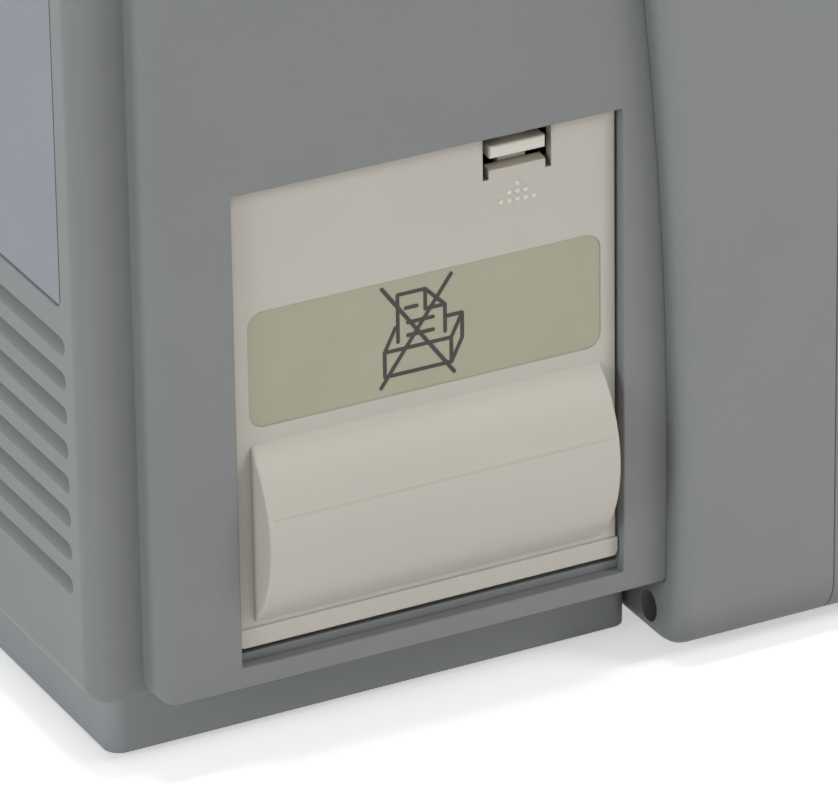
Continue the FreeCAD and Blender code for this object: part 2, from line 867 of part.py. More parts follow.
def recorder_door():
    y, z = (door_front_y, door_rear_y), (door_bottom, door_top)
    knuckle = rod(knuckle_radius, (pivot_x, y[0], pivot_z), (0, 1, 0), y[1] - y[0])
    door = fuse(door_front() + [knuckle] + latch_rails())
    door = door.cut(barrel(barrel_wall, barrel_wall).common(box(
        (door_x - barrel_bulge, door_back_x + 1), y, (z[0] + barrel_low + barrel_wall, z[1]))))
    cuts = [door_label_outline((door_x - 1, door_x + door_label_recess))]
    pin_start = (pivot_x, bay_front_y - 1, pivot_z)
    cuts.append(rod(pin_radius + pin_clearance, pin_start, (0, 1, 0), bay_width + 2))
    notch_y0 = notch_y - notch_width / 2
    behind = door_back_x + latch_gap / 2
    notch = [(door_x - 1, notch_floor_z - notch_slope), (behind, notch_floor_z + notch_slope),
             (behind, z[1] + 1), (door_x - 1, z[1] + 1)]
    cuts.append(polygon_prism("xz", (notch_y0, notch_y0 + notch_width), notch))
    for slit_y in (notch_y0, notch_y0 + notch_width - slit_width):
        cuts.append(box((door_x - 1, behind), (slit_y, slit_y + slit_width), (slit_bottom_z, z[1] + 1)))
    return door.cut(cuts)


def door_label():
    return door_label_outline((door_x + door_label_recess - door_label_sheet, door_x + door_label_recess))


def release_latch():
    """A guided slide behind the door: a narrow stem carries the finger tab and ends in the tongue."""
    guide_half, stem_half, tab_half = notch_width / 2 + latch_overlap, stem_width / 2, tab_width / 2
    front = door_back_x + latch_gap
    guide = box((front, front + latch_plate), (notch_y - guide_half, notch_y + guide_half),
                (guide_bottom_z, guide_top_z))
    stem = box((front, front + latch_plate), (notch_y - stem_half, notch_y + stem_half),
               (guide_bottom_z, bay_top + latch_bite))
    tab_x = door_x - tab_proud
    tab = box((tab_x, front + latch_plate), (notch_y - tab_half, notch_y + tab_half),
              (tab_z, tab_z + tab_height))
    tab = soften(tab, tab_edge, lambda p: near(p.x, tab_x))
    return fuse([guide, stem, tab])


# Front bezel, screen and controls

def bezel_boss_places():
    x0, x1 = window_x0 - lcd_rim - boss_radius, window_x1 + lcd_rim + boss_radius
    z0, z1 = window_z0 - lcd_rim, window_z1 - lcd_rim
    return [(x, z) for x in (x0, x1) for z in (z0, z1)]


def key_outline(span, growth):
    return [rounded_prism("xz", span, (key_x - key_width / 2 - growth, key_x + key_width / 2 + growth),
                          (z - key_height / 2 - growth, z + key_height / 2 + growth), key_radius + growth)
            for z in key_rows()]


def key_rows():
    return [key_z1 - key_pitch * row for row in range(key_count)]


def on_window_rim(p):
    beside = window_x0 - fit_gap < p.x < window_x1 + fit_gap
    return near(p.y, face_y) and beside and window_z0 - fit_gap < p.z < window_z1 + fit_gap


def front_bezel():
    outside = front_outline((face_y, seam_y))
    outside = soften(outside, face_edge_radius, lambda p: near(p.y, face_y))
    outside = soften(outside, seam_edge, lambda p: near(p.y, seam_y))
    shell = outside.cut(front_outline((face_inner_y, seam_y + 1), front_wall))
    solids = [shell]
    for x, z in bezel_boss_places():
        solids.append(rod(boss_radius, (x, face_inner_y, z), (0, 1, 0), lcd_back_y - face_inner_y))
    room = front_outline((face_y, seam_y), front_wall / 2)
    for x, z in well_places():
        solids.append(rod(well_radius + well_wall, (x, face_inner_y, z), (0, 1, 0),
                          seam_y - face_inner_y).common(room))
    shell = fuse(solids)
    through = (face_y - 1, face_inner_y + 1)
    cuts = [rounded_prism("xz", through, (window_x0, window_x1), (window_z0, window_z1), window_radius)]
    cuts += key_outline(through, key_gap)
    cuts.append(rod(power_key_radius + key_gap, (key_x, through[0], power_z), (0, 1, 0), front_wall + 2))
    cuts.append(rod(shaft_hole_radius, (key_x, through[0], knob_z), (0, 1, 0), front_wall + 2))
    for x in light_places():
        cuts.append(rod(light_radius + hole_clearance, (x, through[0], light_z), (0, 1, 0), front_wall + 2))
    for x, z in well_places():
        cuts.append(rod(screw_hole_radius, (x, face_inner_y, z), (0, 1, 0), bezel_depth))
    return soften(shell.cut(cuts), window_bevel, on_window_rim)


def display_window():
    x = (window_x0 - window_rim, window_x1 + window_rim)
    z = (window_z0 - window_rim, window_z1 + window_rim)
    return rounded_prism("xz", (face_inner_y, lcd_front_y), x, z, window_radius)


def lcd_module():
    x = (window_x0 - lcd_rim, window_x1 + lcd_rim)
    z = (window_z0 - lcd_rim, window_z1 + lcd_rim)
    module = box(x, (lcd_front_y, lcd_back_y), z)
    notch = boss_radius + fit_gap
    notches = [rod(notch, (x, lcd_front_y - 1, z), (0, 1, 0), lcd_depth + 2) for x, z in bezel_boss_places()]
    return module.cut(notches)


def lcd_bracket():
    x0, x1 = bezel_boss_places()[0][0], bezel_boss_places()[-1][0]
    outer_x = (x0 - bracket_rim, x1 + bracket_rim)
    z = (window_z0 - lcd_rim - bracket_rim, window_z1 + lcd_rim)
    sheet = rounded_prism("xz", (lcd_back_y, bracket_back_y), outer_x, z, bracket_rim)
    middle = (window_x0 + window_x1) / 2
    hole_z = (window_z0 + bracket_margin, window_z1 - bracket_margin)
    through = (lcd_back_y - 1, bracket_back_y + 1)
    holes = []
    for side in (-1, 1):
        near_x = middle + side * bracket_bridge / 2
        far_x = middle + side * (window_width / 2 - bracket_margin)
        holes.append(rounded_prism("xz", through, sorted((near_x, far_x)), hole_z, bracket_rim))
    return sheet.cut(holes)


def light_places():
    return [key_x - light_pitch / 2, key_x + light_pitch / 2]


def indicator_lights():
    lights = []
    for x in light_places():
        lights.append(rod(light_radius, (x, face_y, light_z), (0, 1, 0), key_board_y - face_y))
    return group(lights)


def keypad_board():
    x = (key_x - key_width / 2 - board_rim, key_x + key_width / 2 + board_rim)
    z = (light_z - board_rim, key_z1 + key_height + board_rim)
    board = box(x, (key_board_y, key_board_y + board_sheet), z)
    posts = []
    for side in x:
        inner = side + (boss_radius if side == x[0] else -boss_radius)
        for level in (z[0] + boss_radius, z[1] - boss_radius):
            posts.append(rod(board_post_radius, (inner, face_inner_y, level), (0, 1, 0),
                             key_board_y - face_inner_y))
    switches = [rod(switch_radius, (key_x, switch_y, z), (0, 1, 0), switch_height)
                for z in key_rows() + [power_z]]
    return fuse([board] + posts + switches)


def key_stem(z):
    """The push rod behind a key, ending one key travel and a little more before its switch."""
    start = face_inner_y + fit_gap
    return rod(key_stem_radius, (key_x, start, z), (0, 1, 0), switch_y - key_travel - fit_gap - start)


def function_keys():
    caps = key_outline((face_y - key_proud, face_inner_y + fit_gap), 0)
    flanges = key_outline((face_inner_y + fit_gap, face_inner_y + fit_gap + key_flange), key_flange_rim)
    keys = []
    for cap, flange, z in zip(caps, flanges, key_rows()):
        cap = soften(cap, key_edge, lambda p: near(p.y, face_y - key_proud))
        keys.append(fuse([cap, flange, key_stem(z)]))
    return keys


def power_key():
    front = face_y - key_proud
    cap = rod(power_key_radius, (key_x, front, power_z), (0, 1, 0), face_inner_y + fit_gap - front)
    cap = soften(cap, key_edge, lambda p: near(p.y, front))
    behind = (key_x, face_inner_y + fit_gap, power_z)
    flange = rod(power_key_radius + key_flange_rim, behind, (0, 1, 0), key_flange)
    return fuse([cap, flange, key_stem(power_z)])


def encoder():
    half = encoder_size / 2
    y = (key_board_y - encoder_depth, key_board_y)
    body = box((key_x - half, key_x + half), y, (knob_z - half, knob_z + half))
    return body.cut(rod(shaft_radius + shaft_clearance, (key_x, y[0] - 1, knob_z), (0, 1, 0), encoder_depth))


def encoder_shaft():
    start = face_y - knob_proud + knob_face
    end = key_board_y - 1 - key_travel - fit_gap
    return rod(shaft_radius, (key_x, start, knob_z), (0, 1, 0), end - start)


def rotary_knob():
    front, back = face_y - knob_proud, face_y - knob_skirt_gap
    length = back - front
    knob = Part.makeCone(knob_radius - knob_taper, knob_radius, length,
                         Vector(key_x, front, knob_z), Vector(0, 1, 0))
    knob = soften(knob, knob_edge, lambda p: near(p.y, front))
    bore_start = (key_x, front + knob_face - fit_gap, knob_z)
    cuts = [rod(shaft_radius + shaft_clearance, bore_start, (0, 1, 0), length)]
    for step in range(knob_grooves):
        angle = 2 * math.pi * step / knob_grooves
        x, z = key_x + knob_radius * math.cos(angle), knob_z + knob_radius * math.sin(angle)
        cuts.append(rod(knob_groove_radius, (x, front + knob_groove_start, z), (0, 1, 0), length))
    return knob.cut(cuts)


# Chassis and boards

def post_places():
    x0, x1 = bezel_boss_places()[0][0] + post_inset, bezel_boss_places()[-1][0] - post_inset
    z0, z1 = window_z0 + post_inset, window_z1 - post_inset
    return [(x, z) for x in (x0, x1) for z in (z0, z1)]


def chassis_posts():
    return group([rod(post_radius, (x, bracket_back_y, z), (0, 1, 0), post_length)
                  for x, z in post_places()])


def chassis():
    (x0, z0), (x1, z1) = post_places()[0], post_places()[-1]
    x = (x0 - post_inset / 2, x1 + post_inset / 2)
    z = (z0 - post_inset / 2, z1 + post_inset / 2)
    sheet = rounded_prism("xz", (chassis_y, chassis_back_y), x, z, post_radius)
    flange = box((x[0] + post_radius, x[1] - post_radius), (chassis_y, chassis_back_y + chassis_flange),
                 (z[1] - chassis_sheet, z[1]))
    return fuse([sheet, flange])


def main_board_edges():
    (x0, z0), (x1, z1) = post_places()[0], post_places()[-1]
    return ((x0 + main_board_inset, x1 - main_board_inset), (z0 + main_board_inset, z1 - main_board_inset))


def standoff_places():
    x, z = main_board_edges()
    inset = standoff_radius + 1
    return [(a, b) for a in (x[0] + inset, x[1] - inset) for b in (z[0] + inset, z[1] - inset)]


def board_standoffs():
    return group([rod(standoff_radius, (x, chassis_back_y, z), (0, 1, 0), standoff_length)
                  for x, z in standoff_places()])


def main_board():
    x, z = main_board_edges()
    back = main_board_y + board_sheet
    sink = heatsink_size / 2
    sink_x, sink_z = (x[0] + x[1]) / 2, (z[0] + z[1]) / 2
    sink_high = (sink_z - sink, sink_z + sink)
    pieces = [box(x, (main_board_y, back), z)]
    pieces.append(box((sink_x - sink, sink_x + sink), (back, back + chip_height), sink_high))
    fin_pitch = heatsink_size / heatsink_fins
    for fin in range(heatsink_fins):
        left = sink_x - sink + fin * fin_pitch
        pieces.append(box((left, left + heatsink_fin), (back, back + heatsink_height), sink_high))
    chip_x = (x[1] - chip_inset - chip_size, x[1] - chip_inset)
    for row in range(chip_count):
        low = z[0] + chip_inset + row * chip_pitch
        pieces.append(box(chip_x, (back, back + chip_height), (low, low + chip_size)))
    return fuse(pieces)


def power_supply():
    """An open tray with its board, a transformer block and a row of round cans."""
    x, y = (supply_x0, supply_x1), (supply_y0, supply_y1)
    between = (x[0] + supply_sheet, x[1] - supply_sheet)
    top = floor_top + supply_height
    tray = box(x, y, (floor_top, top))
    tray = tray.cut(box(between, (y[0] - 1, y[1] + 1), (floor_top + supply_sheet, top + 1)))
    board_z = floor_top + supply_sheet + supply_board_rise
    board = box(between, y, (board_z, board_z + board_sheet))
    core_x, core_y = x[0] + transformer_inset, (y[0] + y[1] - transformer_size) / 2
    core = box((core_x, core_x + transformer_size), (core_y, core_y + transformer_size),
               (board_z, top - transformer_drop))
    cans = []
    for place in range(can_count):
        can_y = y[0] + can_inset + place * can_pitch
        cans.append(rod(can_radius, (x[1] - can_inset, can_y, board_z), (0, 0, 1), can_height))
    return fuse([tray, board, core] + cans)


def battery_pack():
    x = (battery_x0 + battery_gap, battery_x1 - battery_gap)
    y = (battery_y0 + battery_gap, battery_y1 - battery_gap)
    return rounded_prism("xy", (pan_floor, pan_floor + battery_height), x, y, battery_corner)


def battery_cover():
    x = (battery_x0 + cover_gap, battery_x1 - cover_gap)
    y = (battery_y0 + cover_gap, battery_y1 - cover_gap)
    plate = box(x, y, (pan_bottom, pan_floor))
    tabs = []
    for middle in (battery_x0 + cover_tab_inset, battery_x1 - cover_tab_inset):
        arm = (middle - cover_tab / 2, middle + cover_tab / 2)
        for edge in (battery_y0, battery_y1):
            away = 1 if edge == battery_y1 else -1
            reach = sorted((edge - away * battery_gap, edge + away * cover_tab_reach))
            tabs.append(box(arm, reach, (pan_floor, pan_floor + board_sheet)))
    scoop_left, scoop_z = (x[0] + x[1] - scoop_length) / 2, pan_bottom + scoop_depth - scoop_radius
    scoop_start = (scoop_left, y[1] - scoop_inset, scoop_z)
    return fuse([plate] + tabs).cut(rod(scoop_radius, scoop_start, (1, 0, 0), scoop_length))


def nibp_pump():
    half, head_y = pump_radius, pump_back_y - pump_length
    motor = rod(pump_radius, (pump_x, pump_back_y, pump_z), (0, -1, 0), pump_length)
    head = box((pump_x - half, pump_x + half), (head_y - pump_head, head_y), (pump_z - half, pump_z + half))
    outlet = rod(nipple_radius, (pump_x + half, head_y - pump_head / 2, pump_z), (1, 0, 0), nipple_reach)
    return fuse([motor, head, outlet])


def pump_cradle():
    half, middle_y = pump_radius + cradle_rise, pump_back_y - pump_length / 2
    block = box((pump_x - half, pump_x + half), (middle_y - cradle_width / 2, middle_y + cradle_width / 2),
                (floor_top, pump_z))
    return block.cut(rod(pump_radius + hole_clearance, (pump_x, pump_back_y + 1, pump_z), (0, -1, 0),
                         pump_length + 2))


def speaker():
    x = -rear_half_width + speaker_from_left
    z = floor_top + speaker_height
    back_y = rear_inner_y - speaker_depth
    flange = rod(speaker_radius, (x, rear_inner_y, z), (0, -1, 0), speaker_flange)
    basket_depth = speaker_depth - speaker_flange - magnet_height
    basket = Part.makeCone(speaker_radius - speaker_rim, magnet_radius - speaker_rim, basket_depth,
                           Vector(x, rear_inner_y - speaker_flange, z), Vector(0, -1, 0))
    magnet = rod(magnet_radius, (x, back_y, z), (0, 1, 0), magnet_height)
    bowl = Part.makeCone(speaker_radius - 2 * speaker_rim, magnet_radius - 2 * speaker_rim, basket_depth,
                         Vector(x, rear_inner_y, z), Vector(0, -1, 0))
    return fuse([flange, basket, magnet]).cut(bowl)


# Right-hand patient connectors

def socket_heights():
    """Four rows down the panel: heart leads, oxygen probe, a pair of temperature jacks, cuff hose."""
    top = panel_z1 - socket_top_margin
    return [top - socket_pitch * row for row in range(4)]


def connector_panel():
    y, z = (panel_y0, panel_y1), (panel_z0, panel_z1)
    grown_y = (y[0] - panel_rim, y[1] + panel_rim)
    grown_z = (z[0] - panel_rim, z[1] + panel_rim)
    dish = rounded_prism("yz", (panel_back_x, pod_inner_x), grown_y, grown_z, panel_radius + panel_rim)
    dish = dish.cut(rounded_prism("yz", (panel_x, pod_inner_x + 1), y, z, panel_radius))
    ecg_z, probe_z, jack_z, hose_z = socket_heights()
    round_holes = [(ecg_radius, panel_y, ecg_z), (small_socket_radius, panel_y, hose_z)]
    round_holes += [(small_socket_radius, y_jack, jack_z) for y_jack in temperature_places()]
    cuts = [probe_outline((panel_back_x - 1, panel_x + 1), fit_gap)]
    for radius, y_hole, z_hole in round_holes:
        cuts.append(rod(radius + fit_gap, (panel_back_x - 1, y_hole, z_hole), (1, 0, 0), panel_sheet + 2))
    return dish.cut(cuts)


def temperature_places():
    return [panel_y - jack_spacing / 2, panel_y + jack_spacing / 2]


def socket_body(radius, y, z):
    """A round socket that goes from its board, through the panel, to a flange on the panel's face."""
    start = parameter_x + board_sheet
    body = rod(radius, (start, y, z), (1, 0, 0), panel_x - start)
    flange = rod(radius + socket_flange, (panel_x, y, z), (1, 0, 0), socket_proud)
    return fuse([body, flange])


def ecg_socket():
    z = socket_heights()[0]
    bore = rod(ecg_radius - ecg_wall, (parameter_x, panel_y, z), (1, 0, 0), pod_half_width)
    return socket_body(ecg_radius, panel_y, z).cut(bore)


def ecg_insert():
    """The contact block at the bottom of the heart-lead socket, with a ring of pin holes."""
    z = socket_heights()[0]
    start, front = parameter_x + board_sheet, panel_x + socket_proud - ecg_recess
    block = rod(ecg_radius - ecg_wall - hole_clearance, (start, panel_y, z), (1, 0, 0), front - start)
    holes = []
    for pin in range(ecg_pins):
        angle = 2 * math.pi * pin / ecg_pins
        y_pin, z_pin = panel_y + ecg_pin_circle * math.cos(angle), z + ecg_pin_circle * math.sin(angle)
        holes.append(rod(ecg_pin_radius, (front, y_pin, z_pin), (-1, 0, 0), pin_depth))
    return block.cut(holes)


def probe_outline(span, growth):
    """The front view of the oxygen-probe socket, as a solid along X."""
    z = socket_heights()[1]
    half_width, half_height = probe_width / 2 + growth, probe_height / 2 + growth
    return rounded_prism("yz", span, (panel_y - half_width, panel_y + half_width),
                         (z - half_height, z + half_height), probe_corner + growth)


def spo2_socket():
    """Two rows of pin holes, the upper row one hole shorter."""
    face_x = panel_x + socket_proud
    body = probe_outline((parameter_x + board_sheet, panel_x), 0)
    flange = probe_outline((panel_x, face_x), socket_flange)
    holes = []
    for row in range(2):
        z_pin = socket_heights()[1] + (row - 0.5) * probe_row_pitch
        for column in range(probe_pins - row):
            y_pin = panel_y + (column - (probe_pins - row - 1) / 2) * probe_pin_pitch
            holes.append(rod(probe_pin_radius, (face_x, y_pin, z_pin), (-1, 0, 0), pin_depth))
    return fuse([body, flange]).cut(holes)


def temperature_sockets():
    z = socket_heights()[2]
    sockets = []
    for y in temperature_places():
        bore = rod(jack_bore, (panel_x + socket_proud, y, z), (-1, 0, 0), jack_bore_depth)
        sockets.append(socket_body(small_socket_radius, y, z).cut(bore))
    return group(sockets)


def nibp_port():
    z = socket_heights()[3]
    nipple = rod(nipple_radius, (panel_x + socket_proud, panel_y, z), (1, 0, 0), nipple_reach)
    bore = rod(nipple_bore, (parameter_x, panel_y, z), (1, 0, 0), pod_half_width)
    return fuse([socket_body(small_socket_radius, panel_y, z), nipple]).cut(bore)


def parameter_board():
    x = (parameter_x, parameter_x + board_sheet)
    return box(x, (panel_y0, panel_y1), (panel_z0, panel_z1))


# Rear connectors

def power_inlet():
    x = (inlet_x - inlet_width / 2, inlet_x + inlet_width / 2)
    z = (inlet_z - inlet_height / 2, inlet_z + inlet_height / 2)
    body = box(x, (rear_y - inlet_depth, rear_y), z)
    shroud = rounded_prism("xz", (rear_y - inlet_cavity, rear_y + 1), (x[0] + inlet_wall, x[1] - inlet_wall),
                           (z[0] + inlet_wall, z[1] - inlet_wall),
                           [inlet_corner, inlet_corner, inlet_chamfer, inlet_chamfer])
    return body.cut([shroud] + blade_boxes(hole_clearance))


def blade_boxes(growth):
    """Three flat contacts: earth in the middle and a little higher, one each side."""
    half_wide, half_thick = blade_thick / 2 + growth, blade_width / 2 + growth
    floor_y = rear_y - inlet_cavity
    blades = []
    for step, lift in ((-1, -phase_drop), (0, earth_rise), (1, -phase_drop)):
        x, z = inlet_x + step * blade_pitch, inlet_z + lift
        blades.append(box((x - half_wide, x + half_wide), (floor_y - blade_root, floor_y + blade_length),
                          (z - half_thick, z + half_thick)))
    return blades


def inlet_blades():
    return group(blade_boxes(0))


def fuse_drawer():
    low = inlet_z + inlet_height / 2
    x = (inlet_x - fuse_width / 2, inlet_x + fuse_width / 2)
    body = box(x, (rear_y - fuse_depth, rear_y), (low, low + fuse_height))
    grip_top = low + fuse_height - fuse_grip_drop
    grip_half = fuse_grip_width / 2
    grip = box((inlet_x - grip_half, inlet_x + grip_half), (rear_y - fuse_grip, rear_y + 1),
               (grip_top - fuse_grip_height, grip_top))
    return body.cut(grip)


def ground_stud():
    x = inlet_x + stud_from_inlet
    floor_y = rear_inner_y - stud_well_depth + shell_wall
    behind_y = floor_y - shell_wall
    nut_radius = stud_radius + stud_nut_rim
    pin = rod(stud_radius, (x, behind_y - stud_nut_height, inlet_z), (0, 1, 0), stud_well_depth)
    collar = rod(nut_radius, (x, floor_y, inlet_z), (0, 1, 0), stud_nut_height)
    nut = rod(nut_radius, (x, behind_y, inlet_z), (0, -1, 0), stud_nut_height)
    return fuse([pin, collar, nut])


def network_port():
    x = inlet_x + jack_from_inlet
    z_low, z_high = inlet_z - jack_mouth_height / 2, inlet_z + jack_mouth_height / 2
    deep = (rear_y - jack_depth + jack_back, rear_y)
    body = box((x - jack_width / 2, x + jack_width / 2), (rear_y - jack_depth, rear_y - jack_setback),
               (inlet_z - jack_height / 2, inlet_z + jack_height / 2))
    mouth = box((x - jack_mouth_width / 2, x + jack_mouth_width / 2), deep, (z_low, z_high))
    latch = box((x - jack_latch_width / 2, x + jack_latch_width / 2), deep,
                (z_low - jack_latch_drop, inlet_z))
    return body.cut([mouth, latch])


def sub_parts():
    parts = {
        "rear_housing": rear_housing(),
        "front_housing": front_housing(),
        "front_bezel": front_bezel(),
        "base_pan": base_pan(),
        "rubber_feet": rubber_feet(),
        "mount_inserts": mount_inserts(),
        "housing_screws": housing_screws(),
        "handle": handle(),
        "handle_screws": handle_screws(),
        "rear_label": rear_label(),
        "recorder_bay": recorder_bay(),
        "option_socket": option_socket(),
        "hinge_pin": hinge_pin(),
        "recorder_door": recorder_door(),
        "door_label": door_label(),
        "release_latch": release_latch(),
        "display_window": display_window(),
        "lcd_module": lcd_module(),
        "lcd_bracket": lcd_bracket(),
        "indicator_lights": indicator_lights(),
        "keypad_board": keypad_board(),
        "power_key": power_key(),
        "encoder": encoder(),
        "encoder_shaft": encoder_shaft(),
        "rotary_knob": rotary_knob(),
        "chassis_posts": chassis_posts(),
        "chassis": chassis(),
        "board_standoffs": board_standoffs(),
        "main_board": main_board(),
        "power_supply": power_supply(),
        "battery_pack": battery_pack(),
        "battery_cover": battery_cover(),
        "nibp_pump": nibp_pump(),
        "pump_cradle": pump_cradle(),
        "speaker": speaker(),
        "connector_panel": connector_panel(),
        "ecg_socket": ecg_socket(),
        "ecg_insert": ecg_insert(),
        "spo2_socket": spo2_socket(),
        "temperature_sockets": temperature_sockets(),
        "nibp_port": nibp_port(),
        "parameter_board": parameter_board(),
        "power_inlet": power_inlet(),
        "inlet_blades": inlet_blades(),
        "fuse_drawer": fuse_drawer(),
        "ground_stud": ground_stud(),
        "network_port": network_port(),
    }
    for number, key in enumerate(function_keys(), start=1):
        parts["function_key_" + str(number)] = key
    return parts


os.makedirs("parts", exist_ok=True)
for name, shape in sub_parts().items():
    shape.exportStep("parts/" + name + ".step")
    print(name, len(shape.Solids), "solids", round(shape.Volume), "mm3, valid:", shape.isValid())
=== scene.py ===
import json
import math
import bmesh
import bpy
from mathutils import Matrix, Vector


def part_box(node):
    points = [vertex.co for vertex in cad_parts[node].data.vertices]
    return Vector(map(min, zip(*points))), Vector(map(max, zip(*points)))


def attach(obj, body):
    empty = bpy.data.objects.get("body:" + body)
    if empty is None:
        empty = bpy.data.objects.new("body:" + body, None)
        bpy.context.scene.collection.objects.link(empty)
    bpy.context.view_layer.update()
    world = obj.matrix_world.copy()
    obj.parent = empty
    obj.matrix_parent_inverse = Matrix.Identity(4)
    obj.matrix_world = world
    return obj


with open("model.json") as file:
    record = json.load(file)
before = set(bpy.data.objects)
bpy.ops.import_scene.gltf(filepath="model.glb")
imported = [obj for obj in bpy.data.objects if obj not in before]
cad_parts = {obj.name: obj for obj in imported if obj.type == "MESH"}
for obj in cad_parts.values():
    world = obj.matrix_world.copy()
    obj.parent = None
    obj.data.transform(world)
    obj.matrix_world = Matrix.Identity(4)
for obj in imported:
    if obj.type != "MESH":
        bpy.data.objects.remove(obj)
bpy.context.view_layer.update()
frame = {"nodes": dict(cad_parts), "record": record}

# Lengths are in metres, and drawings of marks are in millimetres
MM = 0.001

# Camera, solved from the straight edges in the photograph; Blender takes the sensor's width in millimetres
IMAGE_WIDTH = 838
FOCAL_PIXELS = 7921.4
SENSOR_WIDTH = 36.0
CAMERA_SWING = math.radians(27.117)
CAMERA_RISE = math.radians(26.231)
CAMERA_ROLL = math.radians(-0.826)
CAMERA_DISTANCE = 1.408
CAMERA_AIM = Vector((-0.1388, 0.02562, 0.06335))
CAMERA_NEAR = 0.05
CAMERA_FAR = 50.0

# Stage: the world's light, the floor, which glows more from FADE_START to FADE_END, and the lamps
WHITE = (1.0, 1.0, 1.0, 1.0)
WORLD_COLOR = (0.95, 0.98, 1.0, 1.0)
WORLD_LIGHT = 0.34
FLOOR_HALF_WIDTH = 6.0
FLOOR_GREY = 236
FADE_START = 0.5
FADE_END = 1.5
GLOW_NEAR = 0.5
GLOW_FAR = 1.0
LAMP_SIZE = 0.7
LAMP_AIM = Vector((0.0, 0.0, 0.12))

# Painted shade in corners: the colour that filters the paint, how far it reaches out of corners, and the
# door's notch round the latch where it is painted
VALLEY_SHADE = (0.5, 0.5, 0.5, 1.0)
VALLEY_SHADE_REACH = 14.0 * MM
NOTCH_SHADE = (0.5, 0.45, 0.36, 1.0)
LATCH_SHADE = (0.75, 0.72, 0.67, 1.0)
NOTCH_SHADE_REACH = 6.0 * MM
NOTCH_HALF_WIDTH = 7.5 * MM
NOTCH_DEPTH = 8.8 * MM

# Dark border round the picture area of the screen
SCREEN_BORDER = 10.0 * MM

# Printed lines: the sign on the door, the frame of the rear label and the marks on keys and connectors
INK_THICKNESS = 0.03 * MM
INK_LAYER = 0.002 * MM
SIGN_BELOW_TOP = 34.5 * MM
SIGN_FROM_REAR = 36.7 * MM
SIGN_LINE = 0.75 * MM
BORDER_INSET = 0.15 * MM
BORDER_LINE = 0.45 * MM
MARK_LINE = 0.6 * MM
MARK_FROM_PANEL_EDGE = 8.2 * MM

# Raised dots under the latch, on the door's face, which stands out past that of the sunk label
DOT_ROWS = 3
DOT_PITCH = 1.65 * MM
DOT_ROW_PITCH = 0.95 * DOT_PITCH
DOT_RADIUS = 0.5 * MM
DOT_RISE = 0.3 * MM
DOTS_BELOW_TOP = 10.1 * MM
DOOR_FACE_PAST_LABEL = 0.2 * MM

# Moulding line across the round front of the door
LINE_ABOVE_DOOR_BOTTOM = 27.7 * MM
LINE_END_INSET = 4.2 * MM
LINE_WIDTH = 0.5 * MM
LINE_RISE = 0.012 * MM

# Contacts of the network jack
CONTACT_COUNT = 8
CONTACT_PITCH = 1.02 * MM
CONTACT_WIDTH = 0.45 * MM
CONTACT_DEPTH = 0.4 * MM
CONTACT_FROM_MOUTH = 3.0 * MM
CONTACT_FROM_BACK = 3.2 * MM
CONTACT_FRONT_ABOVE_MIDDLE = 4.0 * MM
CONTACT_BACK_BELOW_MIDDLE = 0.5 * MM

# How far off a straight line starts that looks for a face
CLEAR_OF_PART = 50 * MM

# Steps round an arc, the end of a printed line and a dot, and samples for soft edges and soiled corners
ARC_STEPS = 24
LINE_END_STEPS = 6
DOME_STEPS = 20
DOME_RINGS = 4
EDGE_SAMPLES = 4
CORNER_SAMPLES = 8


def srgb(red, green, blue):
    """A colour as it is seen on screen, 0 to 255, in the linear values that shaders take."""
    linear = []
    for value in (red, green, blue):
        share = value / 255
        linear.append(share / 12.92 if share <= 0.04045 else ((share + 0.055) / 1.055) ** 2.4)
    return (*linear, 1.0)


def scaled(color, factor):
    return (color[0] * factor, color[1] * factor, color[2] * factor, 1.0)


def middle_of(node_name):
    low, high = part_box(node_name)
    return [(a + b) / 2 for a, b in zip(low, high)]


def calculate(tree, kind, operation, first, second):
    """A math node of this kind in a node tree, on one socket and on another socket or plain value."""
    node = tree.nodes.new(kind)
    node.operation = operation
    tree.links.new(first, node.inputs[0])
    if isinstance(second, bpy.types.NodeSocket):
        tree.links.new(second, node.inputs[1])
    else:
        node.inputs[1].default_value = second
    return node.outputs[0]


# Camera

def camera_matrix():
    back = Vector((-math.cos(CAMERA_SWING) * math.cos(CAMERA_RISE),
                   math.sin(CAMERA_SWING) * math.cos(CAMERA_RISE),
                   math.sin(CAMERA_RISE)))
    level_right = Vector((0, 0, 1)).cross(back).normalized()
    level_up = back.cross(level_right)
    right = math.cos(CAMERA_ROLL) * level_right + math.sin(CAMERA_ROLL) * level_up
    up = math.cos(CAMERA_ROLL) * level_up - math.sin(CAMERA_ROLL) * level_right
    matrix = Matrix((right, up, back)).transposed().to_4x4()
    matrix.translation = CAMERA_AIM + back * CAMERA_DISTANCE
    return matrix


def add_camera():
    data = bpy.data.cameras.new("camera")
    data.sensor_width = SENSOR_WIDTH
    data.lens = FOCAL_PIXELS * SENSOR_WIDTH / IMAGE_WIDTH
    data.clip_start = CAMERA_NEAR
    data.clip_end = CAMERA_FAR
    camera = bpy.data.objects.new("camera", data)
    camera.matrix_world = camera_matrix()
    bpy.context.scene.collection.objects.link(camera)
    bpy.context.scene.camera = camera


# Stage: floor, world and lamps

def seen_directly(tree):
    """One where a ray comes straight from the camera, a reflection or a clear pane, else zero."""
    path = tree.nodes.new("ShaderNodeLightPath")
    seen = path.outputs["Is Camera Ray"]
    for other_ray in ("Is Glossy Ray", "Is Transmission Ray"):
        seen = calculate(tree, "ShaderNodeMath", "MAXIMUM", seen, path.outputs[other_ray])
    return seen


def background(tree, color, strength):
    node = tree.nodes.new("ShaderNodeBackground")
    node.inputs["Color"].default_value = color
    node.inputs["Strength"].default_value = strength
    return node.outputs[0]


